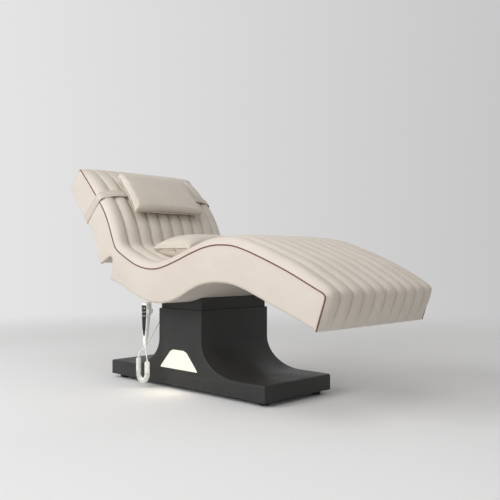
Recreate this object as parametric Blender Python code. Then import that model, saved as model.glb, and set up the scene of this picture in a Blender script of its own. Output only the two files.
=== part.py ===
# Electric treatment bed: a wave-shaped upholstered top with a tilting backrest on a
# telescopic lifting pedestal. Metres, +X to the foot end, +Z up, floor at Z = 0.
import math

import bmesh
import bpy
import numpy as np
from mathutils import Matrix, Vector

# Driving dimensions
WIDTH = 0.70
SEAT_HEIGHT = 0.548
CHEEK = 0.015
GAP = 0.0003
CHANNELS = 10
CROWN = 0.040
ROLL = 0.010
PAD_DEPTH = 0.055
BOARD = 0.009

BASE_LENGTH = 1.052
BASE_WIDTH = 0.422
BASE_UNDERSIDE = 0.020
PLINTH_TOP = 0.088
PEDESTAL_LENGTH = 0.294
PEDESTAL_TOP = SEAT_HEIGHT - 0.183
FLARE_X = 0.210
FLARE_Z = 0.140
SHEET = 0.004
FOOT_RADIUS = 0.021
FOOT_INSET = 0.046
INLET = (0.031, 0.025)
WINDOW_BOTTOM = 0.254
WINDOW_TOP = 0.106
WINDOW_X = -0.009
WINDOW_Z = (0.094, 0.181)

CHASSIS_SHEET = 0.008
SUPPLY = (0.190, 0.140)
SUPPLY_INSET = 0.086
COLUMN = (0.152, 0.112)
COLUMN_WALL = 0.004
COLUMN_PLAY = 0.0008
COLUMN_TOP = PEDESTAL_TOP - 0.025
COLUMN_STEP = 0.015
COLUMN_FLANGE = 0.030
LIFT_TUBE = 0.019
LIFT_ROD = 0.012
LIFT_X = -0.020
SADDLE_LOW = PEDESTAL_TOP + 0.017
SKIRT_SHEET = 0.003
SKIRT_PLAY = 0.003
SKIRT_LOW = 0.105
SADDLE_PLAY = 0.0025
SEAT_REST = 0.0008

HINGE = (-0.318, SEAT_HEIGHT + 0.067)
RAISE = 10.0
CREASE_ANGLE = 43.0



def raised(points):
    return [(x, SEAT_HEIGHT + z) for x, z in points]


# The wave seen from the side, as (x, z) over the seat's lowest seam: the seat's seam line and foot end,
# and the seat's depth at x
SEAT_LINE = raised([(-0.294, 0.086), (-0.183, 0.033), (-0.108, 0.009), (-0.035, 0.000), (0.036, 0.006),
                    (0.137, 0.034), (0.234, 0.067), (0.326, 0.092), (0.415, 0.100), (0.526, 0.086),
                    (0.732, 0.014), (0.907, -0.063)])
FOOT_END = raised([(0.926, -0.072), (0.936, -0.081), (0.936, -0.093), (0.918, -0.146), (0.897, -0.206)])
SEAT_DEPTH = [(-0.30, 0.152), (-0.183, 0.139), (-0.035, 0.146), (0.12, 0.160), (0.265, 0.147),
              (0.415, 0.150), (0.68, 0.157), (0.897, 0.147)]
SEAT_REAR = (-0.342, SEAT_HEIGHT - 0.054)
# The backrest: seam line from the crease to the head, the head end, and the rear corner
BACK_LINE = raised([(-0.297, 0.090), (-0.312, 0.114), (-0.331, 0.154), (-0.362, 0.220), (-0.402, 0.282),
                    (-0.458, 0.344), (-0.520, 0.409), (-0.588, 0.475)])
HEAD_END = raised([(-0.600, 0.485), (-0.613, 0.482), (-0.650, 0.442), (-0.688, 0.401)])
BACK_THICKNESS = [(0.00, 0.122), (0.12, 0.130), (0.24, 0.145), (0.42, 0.145), (0.50, 0.136)]
REAR_CORNER = (-0.430, SEAT_HEIGHT + 0.025)
RAIL_SHEET = 0.008
RAIL_Y = 0.205
RAIL_PLAY = 0.001
EAR = 0.018
SHAFT = 0.007
CROSS = (0.032, 0.034)
CROSS_X = (0.062, 0.500)
PILLOW = (0.258, 0.412)
PILLOW_DOWN = 0.024
PILLOW_ASIDE = -0.016
LUMBAR = (0.240, 0.400)
LUMBAR_AT = (-0.073, SEAT_HEIGHT + 0.103)
STRAP_AT = 0.298
STRAP_WIDTH = 0.046
STRAP_SHEET = 0.0025
PILLOW_RIM = 0.015
PILLOW_CROWN = 0.014

HANDSET = (-0.160, 0.070 - WIDTH / 2, SEAT_HEIGHT - 0.353, SEAT_HEIGHT - 0.156)
HANDSET_FRONT = 0.008
HANDSET_REAR = (0.0065, 0.0200)
KEY_TRAVEL = 0.0008
WIRE = 0.0042
CURL_RADIUS = 0.0102
CURL_PITCH = 0.0052
TURN_PITCH = 0.0078
TURN_RAMP = 0.010
CURL_POINTS = 8
KEY = (0.0098, 0.0090)
KEY_GAP = 0.0004
KEY_ROWS = (0.026, 0.043, 0.060)
KEY_SPREAD = 0.0072
CASE_LOW = SEAT_HEIGHT - 0.144
CASE_X = (-0.300, -0.178)
CASE_Y = (-0.125, 0.090)
CORD_LOW = 0.0335
CORD_TURN = 0.032


# Helpers
def colour(name, rgb, rough=0.5, metal=0.0):
    made = bpy.data.materials.new(name)
    made.use_nodes = True
    shader = made.node_tree.nodes["Principled BSDF"]
    shader.inputs["Base Color"].default_value = (*rgb, 1)
    shader.inputs["Roughness"].default_value = rough
    shader.inputs["Metallic"].default_value = metal
    return made


LEATHER = ((0.62, 0.53, 0.44), 0.5, 0.0)
BLACK = ((0.035, 0.035, 0.036), 0.45, 0.0)
STEEL = ((0.20, 0.20, 0.21), 0.4, 0.8)
WOOD = ((0.52, 0.38, 0.24), 0.6, 0.0)
WHITE = ((0.83, 0.83, 0.81), 0.35, 0.0)
RUBBER = ((0.02, 0.02, 0.02), 0.8, 0.0)
LIGHT = ((0.95, 0.90, 0.78), 0.3, 0.0)


def finish(name, bm, look, origin=(0, 0, 0)):
    bmesh.ops.remove_doubles(bm, verts=bm.verts, dist=1e-6)
    bmesh.ops.recalc_face_normals(bm, faces=bm.faces)
    bmesh.ops.translate(bm, verts=bm.verts, vec=-Vector(origin))
    mesh = bpy.data.meshes.new(name)
    bm.to_mesh(mesh)
    bm.free()
    made = bpy.data.objects.new(name, mesh)
    made.location = origin
    made.data.materials.append(colour(name, *look))
    bpy.context.collection.objects.link(made)
    return made


def loft(name, loops, look, origin=(0, 0, 0), ring=False):
    bm = bmesh.new()
    rows = [[bm.verts.new(p) for p in loop] for loop in loops]
    count = len(rows[0])
    pairs = list(zip(rows, rows[1:])) + ([(rows[-1], rows[0])] if ring else [])
    for a, b in pairs:
        for i in range(count):
            j = (i + 1) % count
            bm.faces.new((a[i], a[j], b[j], b[i]))
    if not ring:
        bm.faces.new(rows[0])
        bm.faces.new(rows[-1])
    return finish(name, bm, look, origin)


def prism(name, outline, y0, y1, look, origin=(0, 0, 0)):
    return loft(name, [[(x, y, z) for x, z in outline] for y in (y0, y1)], look, origin)


def box(name, x, y, z, look, origin=(0, 0, 0)):
    return prism(name, [(x[0], z[0]), (x[1], z[0]), (x[1], z[1]), (x[0], z[1])], *y, look, origin)


def rod(name, start, end, radius, look, sides=20, origin=(0, 0, 0), bore=0.0):
    start, end = Vector(start), Vector(end)
    turn = (end - start).to_track_quat("Z", "Y")
    length = (end - start).length

    def circle(r, z):
        angles = [2 * math.pi * i / sides for i in range(sides)]
        return [start + turn @ Vector((r * math.cos(a), r * math.sin(a), z)) for a in angles]

    if bore:
        loops = [circle(radius, 0), circle(radius, length), circle(bore, length), circle(bore, 0)]
        return loft(name, loops, look, origin, ring=True)
    return loft(name, [circle(radius, 0), circle(radius, length)], look, origin)


def sleeve(name, profile, half_x, half_y, look):
    def loop(grow, z):
        x, y = half_x + grow, half_y + grow
        return [(x, y, z), (-x, y, z), (-x, -y, z), (x, -y, z)]

    return loft(name, [loop(grow, z) for grow, z in profile], look, ring=True)


def combine(target, others, kind="UNION"):
    for other in others:
        step = target.modifiers.new("combine", "BOOLEAN")
        step.operation, step.solver, step.object = kind, "EXACT", other
        bpy.context.view_layer.update()
        shown = target.evaluated_get(bpy.context.evaluated_depsgraph_get())
        mesh = bpy.data.meshes.new_from_object(shown)
        target.modifiers.clear()
        slot = target.data.materials[0]
        target.data = mesh
        mesh.materials.clear()
        mesh.materials.append(slot)
        bpy.data.objects.remove(other)
    return target


def soften(target, width, segments=2, angle=40):
    bm = bmesh.new()
    bm.from_mesh(target.data)
    sharp = [e for e in bm.edges if e.is_manifold and e.calc_face_angle() > math.radians(angle)]
    bmesh.ops.bevel(bm, geom=sharp, offset=width, segments=segments, affect="EDGES", profile=0.5)
    bm.to_mesh(target.data)
    bm.free()
    return target


def spline(points, per_span=4):
    p = [np.array(q, float) for q in points]
    p = [2 * p[0] - p[1]] + p + [2 * p[-1] - p[-2]]
    out = []
    for a, b, c, d in zip(p, p[1:], p[2:], p[3:]):
        for t in np.linspace(0, 1, per_span, endpoint=False):
            out.append(0.5 * (2 * b + (c - a) * t + (2 * a - 5 * b + 4 * c - d) * t ** 2
                              + (3 * b - a - 3 * c + d) * t ** 3))
    return np.array(out + [p[-2]])


def along(line, x):
    return float(np.interp(x, line[:, 0], line[:, 1]))


def lengths(line):
    return np.concatenate([[0], np.cumsum(np.linalg.norm(np.diff(line, axis=0), axis=1))])


def normals(line, side):
    t = np.gradient(line, axis=0)
    t /= np.linalg.norm(t, axis=1)[:, None]
    return side * np.stack([-t[:, 1], t[:, 0]], axis=1)


def polar(angle, r):
    a = math.radians(angle)
    return np.array([HINGE[0] + r * math.cos(a), HINGE[1] + r * math.sin(a)])


for old in list(bpy.data.objects):
    bpy.data.objects.remove(old)

half = WIDTH / 2
inner = half - CHEEK - GAP
pivot = (HINGE[0], 0, HINGE[1])
seat_top = spline(SEAT_LINE, 3)
seat_end = np.array(FOOT_END)
under_x = np.linspace(SEAT_DEPTH[0][0] + 0.02, FOOT_END[-1][0], 30)
under_z = np.interp(under_x, *seat_top.T) - np.interp(under_x, *spline(SEAT_DEPTH, 4).T)
under = np.array([SEAT_REAR] + list(zip(under_x, under_z)))
under[-1] = FOOT_END[-1]
back_front = spline(BACK_LINE, 2)
back_end = np.array(HEAD_END)
seat_side = CREASE_ANGLE - RAISE / 2 - 0.6
back_side = CREASE_ANGLE + RAISE / 2 + 0.6

# Base: chassis, rubber feet, covers and lit windows
base_x, base_y = BASE_LENGTH / 2, BASE_WIDTH / 2
column_x = PEDESTAL_LENGTH / 2
inside_y = base_y - SHEET - GAP
box("chassis_plate", (-base_x + SHEET + GAP, base_x - SHEET - GAP), (-inside_y, inside_y),
    (BASE_UNDERSIDE, BASE_UNDERSIDE + CHASSIS_SHEET), STEEL)
for number, (sx, sy) in enumerate(((-1, -1), (1, -1), (1, 1), (-1, 1)), 1):
    at = (sx * (base_x - FOOT_INSET), sy * (base_y - FOOT_INSET))
    foot = rod(f"rubber_foot_{number}", (*at, 0), (*at, BASE_UNDERSIDE - GAP), FOOT_RADIUS, RUBBER)
    soften(foot, 0.003, 1)


def flare(extra, count=9):
    turn = np.linspace(0, math.pi / 2, count)
    return [(column_x + FLARE_X - (FLARE_X + extra) * math.cos(a),
             PLINTH_TOP + FLARE_Z - (FLARE_Z + extra) * math.sin(a)) for a in turn]


def plinth_edge(extra):
    end, top = base_x - extra, PLINTH_TOP - extra
    return ([(column_x - extra, PEDESTAL_TOP)] + flare(extra)
            + [(end - 0.010, top), (end - 0.003, top - 0.003), (end, top - 0.010), (end, BASE_UNDERSIDE)])


def window(grow):
    low, high = WINDOW_Z
    b, t = WINDOW_BOTTOM / 2 + grow, WINDOW_TOP / 2 + grow
    right = [(b, low - grow), (b - 0.004, low + 0.010), (t + 0.018, high - 0.022 + grow),
             (t + 0.004, high - 0.008 + grow), (t - 0.016, high + grow)]
    return [(WINDOW_X + x, z) for x, z in right] + [(WINDOW_X - x, z) for x, z in reversed(right)]


def inlet_y(grow):
    return (-INLET[0] / 2 - grow, INLET[0] / 2 + grow)


def inlet_z(grow):
    middle = (BASE_UNDERSIDE + PLINTH_TOP) / 2
    return (middle - INLET[1] / 2 - grow, middle + INLET[1] / 2 + grow)


outline = plinth_edge(0)
outline = [(-x, z) for x, z in outline] + outline[::-1]
for side, name in ((-1, "near"), (1, "far")):
    cover = prism(f"side_cover_{name}", outline, side * base_y, side * (base_y - SHEET), BLACK)
    hole = prism("hole", window(0), side * (base_y + 0.01), side * (base_y - 0.02), BLACK)
    combine(cover, [hole], "DIFFERENCE")
    steps = [(base_y - 0.0008, -GAP), (base_y - SHEET - GAP, -GAP),
             (base_y - SHEET - GAP, 0.006), (base_y - SHEET - GAP - 0.0015, 0.006)]
    loft(f"led_window_{name}", [[(x, side * y, z) for x, z in window(grow)] for y, grow in steps], LIGHT)
for side, name in ((-1, "head"), (1, "foot")):
    outer, inset = plinth_edge(0), plinth_edge(SHEET)
    sheet = [(side * x, z) for x, z in outer + inset[::-1]]
    plinth = prism(f"plinth_cover_{name}", sheet, -inside_y, inside_y, BLACK)
    if name == "head":
        slot = box("slot", (-base_x - 0.01, -base_x + 0.02), inlet_y(0.0003), inlet_z(0.0003), BLACK)
        combine(plinth, [slot], "DIFFERENCE")
socket = box("mains_inlet", (-base_x - 0.0015, -base_x + 0.028), inlet_y(0), inlet_z(0), BLACK)
well = box("well", (-base_x - 0.01, -base_x + 0.014), inlet_y(-0.0045), inlet_z(-0.0045), BLACK)
combine(socket, [well], "DIFFERENCE")
floor = BASE_UNDERSIDE + CHASSIS_SHEET + GAP
supply_x = -base_x + SUPPLY_INSET
supply = box("power_supply", (supply_x, supply_x + SUPPLY[0]), (-SUPPLY[1] / 2, SUPPLY[1] / 2),
             (floor, PLINTH_TOP - SHEET - 0.012), STEEL)
soften(supply, 0.003, 1)

# Lifting column: fixed tube, middle tube and the inner tube that carries the seat
bore_x, bore_y = COLUMN[0] / 2, COLUMN[1] / 2
slide = COLUMN_WALL + COLUMN_PLAY
middle_top = COLUMN_TOP + COLUMN_STEP
sleeve("column_outer", [(0, floor), (COLUMN_FLANGE, floor), (COLUMN_FLANGE, floor + 0.006),
                        (COLUMN_WALL, floor + 0.006), (COLUMN_WALL, COLUMN_TOP), (0, COLUMN_TOP)],
       bore_x, bore_y, STEEL)
low_end = floor + 0.012
sleeve("column_middle", [(0, low_end), (0, middle_top), (-COLUMN_WALL, middle_top), (-COLUMN_WALL, low_end)],
       bore_x - COLUMN_PLAY, bore_y - COLUMN_PLAY, STEEL)
top_end = SADDLE_LOW - GAP
sleeve("column_inner", [(0, low_end + 0.004), (0, top_end), (-COLUMN_WALL, top_end),
                        (-COLUMN_WALL, low_end + 0.004)],
       bore_x - slide - COLUMN_PLAY, bore_y - slide - COLUMN_PLAY, STEEL)
drive_top = PLINTH_TOP - 0.010
drive = box("lift_drive", (LIFT_X - 0.030, LIFT_X + 0.078), (-0.034, 0.034), (floor, drive_top), BLACK)
soften(drive, 0.004, 1)
at = (LIFT_X, 0)
combine(drive, [rod("tube", (*at, drive_top - 0.008), (*at, COLUMN_TOP - 0.020), LIFT_TUBE, BLACK),
                rod("motor", (LIFT_X + 0.050, 0, drive_top - 0.008), (LIFT_X + 0.050, 0, drive_top + 0.112),
                    0.026, BLACK)])
combine(drive, [rod("bore", (*at, drive_top + 0.004), (*at, COLUMN_TOP), LIFT_ROD + COLUMN_PLAY, BLACK)],
        "DIFFERENCE")
rod("lift_rod", (*at, drive_top + 0.012), (*at, SADDLE_LOW - GAP), LIFT_ROD, STEEL)


def under_edge(xs, clear):
    return [(x, along(under, x) - clear) for x in xs]


# Saddle block and telescoping skirt under the seat
skirt_x, skirt_y = column_x - SHEET - SKIRT_PLAY, base_y - SHEET - SKIRT_PLAY
saddle_x, saddle_y = skirt_x - SKIRT_SHEET - SADDLE_PLAY, skirt_y - SKIRT_SHEET - SADDLE_PLAY
xs = np.linspace(-saddle_x, saddle_x, 9)
block = [(-saddle_x, SADDLE_LOW), (saddle_x, SADDLE_LOW)] + under_edge(xs[::-1], SEAT_REST)
prism("seat_saddle", block, -saddle_y, saddle_y, STEEL)
xs = np.linspace(-skirt_x + SKIRT_SHEET + GAP, skirt_x - SKIRT_SHEET - GAP, 9)
flap = [(xs[0], SKIRT_LOW), (xs[-1], SKIRT_LOW)] + under_edge(xs[::-1], SEAT_REST)
prism("skirt_near", flap, -skirt_y, -skirt_y + SKIRT_SHEET, BLACK)
prism("skirt_far", flap, skirt_y - SKIRT_SHEET, skirt_y, BLACK)
for side, name in ((-1, "head"), (1, "foot")):
    a, b = side * skirt_x, side * (skirt_x - SKIRT_SHEET)
    flap = [(a, SKIRT_LOW), (b, SKIRT_LOW)] + under_edge((b, a), SEAT_REST)
    prism(f"skirt_{name}", flap, -skirt_y, skirt_y, BLACK)

# Channelled pads: a crowned cross-section carried along the wave and round the end
def section(crown):
    out = []
    for k in range(CHANNELS):
        for u in (0, 0.2, 0.5, 0.8):
            out.append((k + u) / CHANNELS)
            if (k, u) in ((0, 0), (CHANNELS - 1, 0.8)):
                out.append((k + u + (0.07 if k == 0 else 0.13)) / CHANNELS)
    edge = half - 0.0008
    points = []
    for f in out + [1.0]:
        y = edge * (2 * f - 1)
        swell = max(0.0, 1 - abs(y / edge) ** 4) ** 0.5
        u = f * CHANNELS % 1
        roll = ROLL * (4 * u * (1 - u)) ** 0.6 * min(1, crown / 0.02)
        points.append((y, 0.0005 + max(0.0, crown - 0.5 * ROLL) * swell + roll * min(1, 2.2 * swell)))
    return points


def pad(name, stations, origin=(0, 0, 0)):
    loops = []
    for at, out, crown, deep in stations:
        at, out, deep = np.array(at), np.array(out), np.array(deep)
        loop = [(*(at + out * h), y) for y, h in section(crown)]
        lip = at + out * 0.0005
        loop += [(*lip, inner), (*deep, inner), (*deep, -inner), (*lip, -inner)]
        loops.append([(x, y, z) for x, z, y in loop])
    return loft(name, loops, LEATHER, origin)


def crown_at(s, total, end=0.30, run=0.13, power=0.6):
    start = 0.55 + 0.45 * min(1, s / 0.09)
    left = max(0.0, total - s)
    stop = end + (1 - end) * min(1, left / run) ** power
    return CROWN * min(start, stop)


def blend(a, b, t):
    mixed = (1 - t) * np.array(a) + t * np.array(b)
    return mixed / np.linalg.norm(mixed)


crease = polar(seat_side, 0.031)
end_slope = np.array(FOOT_END[2]) - np.array(FOOT_END[4])
end_slope /= np.linalg.norm(end_slope)
end_out = np.array([end_slope[1], -end_slope[0]])
deck_corner = np.array([0.8825, along(seat_top, 0.8825) - PAD_DEPTH])
deck_foot = np.array(FOOT_END[4]) - 0.045 * end_out
s_line = lengths(seat_top)
first = polar(seat_side, 1) - np.array(HINGE)
s_keep = np.concatenate([[0.018, 0.045, 0.075], np.linspace(0.115, s_line[-1] - 0.035, 16)])
stations = [(crease, first, crown_at(0, 1), polar(seat_side, 0.0275))]
line_normals = normals(seat_top, 1)
for s in s_keep:
    at = np.array([np.interp(s, s_line, seat_top[:, k]) for k in (0, 1)])
    out = np.array([np.interp(s, s_line, line_normals[:, k]) for k in (0, 1)])
    t = min(1, s / 0.10)
    depth = PAD_DEPTH * min(1, 0.12 + s / 0.072)
    deep = np.array([at[0] + 0.004 * (1 - t), at[1] - depth])
    stations.append((at, blend(first, out, t), crown_at(s, s_line[-1]), deep))
corner = [(seat_top[-1], (0.40, 0.92), 0.024), (seat_end[0], (0.55, 0.83), 0.019),
          (seat_end[1], (0.80, 0.60), 0.015), (seat_end[2], tuple(end_out), 0.012),
          (seat_end[3], tuple(end_out), 0.011), (seat_end[4], tuple(end_out), 0.008)]
for i, (at, out, crown) in enumerate(corner):
    if i < 4:
        deep = deck_corner + np.array([-0.004 + 0.0012 * i, 0.0012 - 0.0014 * i])
    else:
        deep = deck_corner + (deck_foot - deck_corner) * (i - 3) / 2
    out = np.array(out) / np.linalg.norm(out)
    stations.append((at, out, crown, deep))
pad("seat_pad", stations)
seat_edge = [tuple(station[0]) for station in stations]
seat_deep = [np.array(station[3]) for station in stations[3:20]]
seat_crest = np.array([at + out * (0.0005 + crown + 0.5 * ROLL) for at, out, crown, _ in stations[:20]])

# Seat: side cheeks, underside and rear boards, deck and wave-cut steel rails
apex = polar((seat_side - 103.2) / 2, 0.002)
cheek = [tuple(apex)] + seat_edge + [tuple(p) for p in under[-2::-1]]
for side, name in ((-1, "near"), (1, "far")):
    prism(f"seat_cheek_{name}", cheek, side * half, side * (half - CHEEK), LEATHER)
board_x = np.concatenate([[-0.332], np.linspace(-0.284, 0.853, 22)])
board = [(x, along(under, x)) for x in board_x] + [(x, along(under, x) + BOARD) for x in board_x[::-1]]
prism("seat_underboard", board, -inner, inner, LEATHER)


def rear_face(r, thick):
    a = math.radians(-103.2)
    x, z = HINGE[0] + r * math.cos(a), HINGE[1] + r * math.sin(a)
    return (x - thick * math.sin(a), z + thick * math.cos(a))


rear = prism("seat_rear_board", [rear_face(0.049, 0.001), rear_face(0.118, 0.001), rear_face(0.109, BOARD),
             rear_face(0.049, BOARD)], -inner, inner, LEATHER)
notch = box("notch", (-0.40, -0.25), (-0.030, 0.030), (HINGE[1] - 0.20, HINGE[1] - 0.059), LEATHER)
combine(rear, [notch], "DIFFERENCE")

deck = [tuple(p - (0, 0.0006)) for p in seat_deep]
deck += [tuple(deck_corner - (0.0055, 0.0045)), tuple(deck_foot + (-0.0012, BOARD + 0.004))]
deck += [tuple(deck_foot + (-0.0105, BOARD + 0.007)), tuple(deck_corner - (0.0150, 0.0135))]
deck += [tuple(p - (0, 0.0006 + BOARD)) for p in seat_deep[-2::-1]]
prism("seat_deck", deck, -inner, inner, WOOD)

ear = [polar(a, EAR) for a in np.linspace(-10, 190, 9)]
rail = [tuple(p - (0, 0.0006 + BOARD + GAP)) for p in seat_deep[-2::-1]] + [tuple(p) for p in ear]
rail += [(x, along(under, x) + BOARD + GAP) for x in board_x[1:-1]]
for side, name in ((-1, "near"), (1, "far")):
    plate = prism(f"seat_rail_{name}", rail, side * (RAIL_Y + RAIL_SHEET), side * RAIL_Y, STEEL)
    hole = rod("hole", (HINGE[0], side * (RAIL_Y - 0.01), HINGE[1]),
               (HINGE[0], side * (RAIL_Y + RAIL_SHEET + 0.01), HINGE[1]), SHAFT + GAP, STEEL)
    combine(plate, [hole], "DIFFERENCE")
shaft_y = RAIL_Y + RAIL_SHEET + 0.0055
rod("hinge_shaft", (HINGE[0], -shaft_y, HINGE[1]), (HINGE[0], shaft_y, HINGE[1]), SHAFT, STEEL)
for name, x in zip(("mid", "foot"), CROSS_X):
    low = along(under, x) + BOARD + 0.0125
    reach = RAIL_Y - GAP
    wide = (x - CROSS[0] / 2, x + CROSS[0] / 2)
    box(f"seat_cross_{name}", wide, (-reach, reach), (low, low + CROSS[1]), STEEL)


# Backrest: cheeks, rear and lower boards, deck and rails
b_line = lengths(back_front)
b_normals = normals(back_front, -1)


def in_back(s, depth):
    at = np.array([np.interp(s, b_line, back_front[:, k]) for k in (0, 1)])
    out = np.array([np.interp(s, b_line, b_normals[:, k]) for k in (0, 1)])
    return tuple(at - depth * out / np.linalg.norm(out))


def thickness(s):
    return float(np.interp(s, *np.array(BACK_THICKNESS).T))


# Backrest pad, which wraps over the head end
back_crease = polar(back_side, 0.030)
first = polar(back_side, 1) - np.array(HINGE)
total = b_line[-1]
head_out = np.array([-0.70, 0.714])
stations = [(back_crease, first, crown_at(0, 1), polar(back_side, 0.0270))]
for s in np.concatenate([[0.030, 0.055, 0.085], np.linspace(0.130, total - 0.05, 6)]):
    at, out = np.array(in_back(s, 0)), np.array(in_back(s, -1)) - np.array(in_back(s, 0))
    t = min(1, s / 0.09)
    depth = PAD_DEPTH * min(1, 0.10 + s / 0.085)
    stations.append((at, blend(first, out, t), crown_at(s, total, 0.15, 0.16, 0.9), tuple(at - depth * out)))
top_in = np.array(in_back(total - 0.036, PAD_DEPTH))
low_head = back_end[3] + (0.0315, -0.0215)
corner = [(back_front[-1], (0.45, 0.89), 0.0085), (back_end[0], (0.10, 0.99), 0.007),
          (back_end[1], (-0.45, 0.89), 0.007), (back_end[2], tuple(head_out), 0.008),
          (back_end[3], tuple(head_out), 0.006)]
for i, (at, out, crown) in enumerate(corner):
    deep = top_in + (low_head - top_in) * (0, 0.04, 0.10, 0.5, 1.0)[i]
    stations.append((at, np.array(out) / np.linalg.norm(out), crown, deep))
pad("back_pad", stations, pivot)
back_edge = [tuple(station[0]) for station in stations]
back_deep = [(np.array(station[3]), np.array(station[1])) for station in stations[3:10]]


s_rear = np.linspace(0.12, 0.47, 10)
rear_line = [in_back(s, thickness(s)) for s in s_rear]
back_apex = polar((back_side + 200.6) / 2, 0.002)
cheek = [tuple(back_apex)] + back_edge + rear_line[::-1] + [REAR_CORNER]
for side, name in ((-1, "near"), (1, "far")):
    prism(f"back_cheek_{name}", cheek, side * half, side * (half - CHEEK), LEATHER, pivot)
rear_in = [in_back(s, thickness(s) - BOARD) for s in s_rear]
low_in = (REAR_CORNER[0] + 0.009, REAR_CORNER[1] + 0.016)
low_out = (REAR_CORNER[0] - 0.0004, REAR_CORNER[1] + 0.013)
sheet = [low_out] + rear_line + rear_in[::-1] + [low_in]
prism("back_rearboard", sheet, -inner, inner, LEATHER, pivot)


def low_face(r, thick):
    a = math.radians(200.6)
    return (HINGE[0] + r * math.cos(a) + thick * math.sin(a),
            HINGE[1] + r * math.sin(a) - thick * math.cos(a))


lower = prism("back_lowerboard", [low_face(0.062, 0.0006), low_face(0.1185, 0.0006), low_face(0.1185, BOARD),
              low_face(0.062, BOARD)], -inner, inner, LEATHER, pivot)
notch = box("notch", (-0.416, -0.30), (-0.007, 0.007), (HINGE[1] - 0.12, HINGE[1] + 0.09), LEATHER)
combine(lower, [notch], "DIFFERENCE")
deck = [tuple(p - 0.0006 * out) for p, out in back_deep]
deck += [tuple(p - (0.0006 + BOARD) * out) for p, out in back_deep[::-1]]
prism("back_deck", deck, -inner, inner, WOOD, pivot)
ear = [polar(a, EAR) for a in np.linspace(70, -80, 8)]
s_rail = np.linspace(0.085, 0.43, 9)
back_rail_y = RAIL_Y - RAIL_PLAY
rail = [tuple(p - (0.0006 + BOARD + GAP) * out) for p, out in back_deep[::-1]] + [tuple(p) for p in ear]
rail += [in_back(0.030, 0.098)] + [in_back(s, 0.108) for s in s_rail]
for side, name in ((-1, "near"), (1, "far")):
    outer, inner = side * back_rail_y, side * (back_rail_y - RAIL_SHEET)
    plate = prism(f"back_rail_{name}", rail, outer, inner, STEEL, pivot)
    hole = rod("hole", (HINGE[0], side * (back_rail_y - RAIL_SHEET - 0.01), HINGE[1]),
               (HINGE[0], side * (back_rail_y + 0.01), HINGE[1]), SHAFT + GAP, STEEL, origin=pivot)
    combine(plate, [hole], "DIFFERENCE")

# Backrest drive: a fork on the back cross bar, moved by the pin of a linear drive in the seat
SLOPE = math.radians(13)
ARM = 0.095
SLOT = 0.0156
ARM_REST = math.radians(20)
push = np.array([-math.cos(SLOPE), math.sin(SLOPE)])
down = np.array([-math.sin(SLOPE), -math.cos(SLOPE)])
pin = np.array(HINGE) + ARM * down + ARM * math.tan(ARM_REST) * push
arm = math.cos(ARM_REST) * down + math.sin(ARM_REST) * push
across = np.array([-arm[1], arm[0]])
if across[0] > 0:
    across = -across


def on_arm(r, w):
    return tuple(np.array(HINGE) + r * arm + w * across)


bar = np.array(in_back(0.088, 0.088))
fork = [on_arm(0.114, 0.0165), on_arm(0.114, SLOT / 2), on_arm(0.085, SLOT / 2), on_arm(0.085, -SLOT / 2),
        on_arm(0.114, -SLOT / 2), on_arm(0.114, -0.0165), on_arm(0.071, -0.0165), on_arm(0.070, 0.018),
        tuple(bar + (0.014, -0.010)), tuple(bar + (-0.012, -0.012)), on_arm(0.086, 0.052)]
reach = back_rail_y - RAIL_SHEET - GAP
cross = box("back_cross", (bar[0] - 0.015, bar[0] + 0.015), (-reach, reach),
            (bar[1] - 0.015, bar[1] + 0.015), STEEL, pivot)
combine(cross, [prism("fork", fork, -0.005, 0.005, STEEL, pivot)])


def on_drive(distance, y=0.0, up=0.0):
    p = pin - distance * push - up * down
    return (p[0], y, p[1])


body = rod("back_drive_body", on_drive(0.134), on_drive(0.392), 0.0175, BLACK)
combine(body, [rod("motor", on_drive(0.300, 0.042), on_drive(0.385, 0.042), 0.0170, BLACK),
               rod("gear", on_drive(0.372, -0.004), on_drive(0.372, 0.046), 0.0120, BLACK)])
tail = on_drive(0.380)
end_x = CROSS_X[0] - CROSS[0] / 2 - GAP
end_z = tail[2] - (end_x - tail[0]) * math.tan(SLOPE)
lug = [(tail[0], tail[2] - 0.007), (end_x, end_z - 0.007),
       (end_x, end_z + 0.007), (tail[0], tail[2] + 0.007)]
combine(body, [prism("lug", lug, -0.009, 0.009, BLACK)])
combine(body, [rod("bore", on_drive(0.12), on_drive(0.384), 0.0106, BLACK)], "DIFFERENCE")
ram = rod("back_drive_rod", on_drive(0.030), on_drive(0.268), 0.0100, STEEL)
jaw = [on_drive(-0.009, 0, 0.009), on_drive(0.036, 0, 0.009), on_drive(0.036, 0, -0.009),
       on_drive(-0.009, 0, -0.009)]
clevis = prism("clevis", [(x, z) for x, _, z in jaw], -0.016, 0.016, STEEL)
mouth = [on_drive(-0.02, 0, 0.02), on_drive(0.027, 0, 0.02),
         on_drive(0.027, 0, -0.02), on_drive(-0.02, 0, -0.02)]
combine(clevis, [prism("mouth", [(x, z) for x, _, z in mouth], -0.0065, 0.0065, STEEL)], "DIFFERENCE")
combine(ram, [clevis, rod("pin", on_drive(0, -0.015), on_drive(0, 0.015), 0.005, STEEL)])

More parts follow.
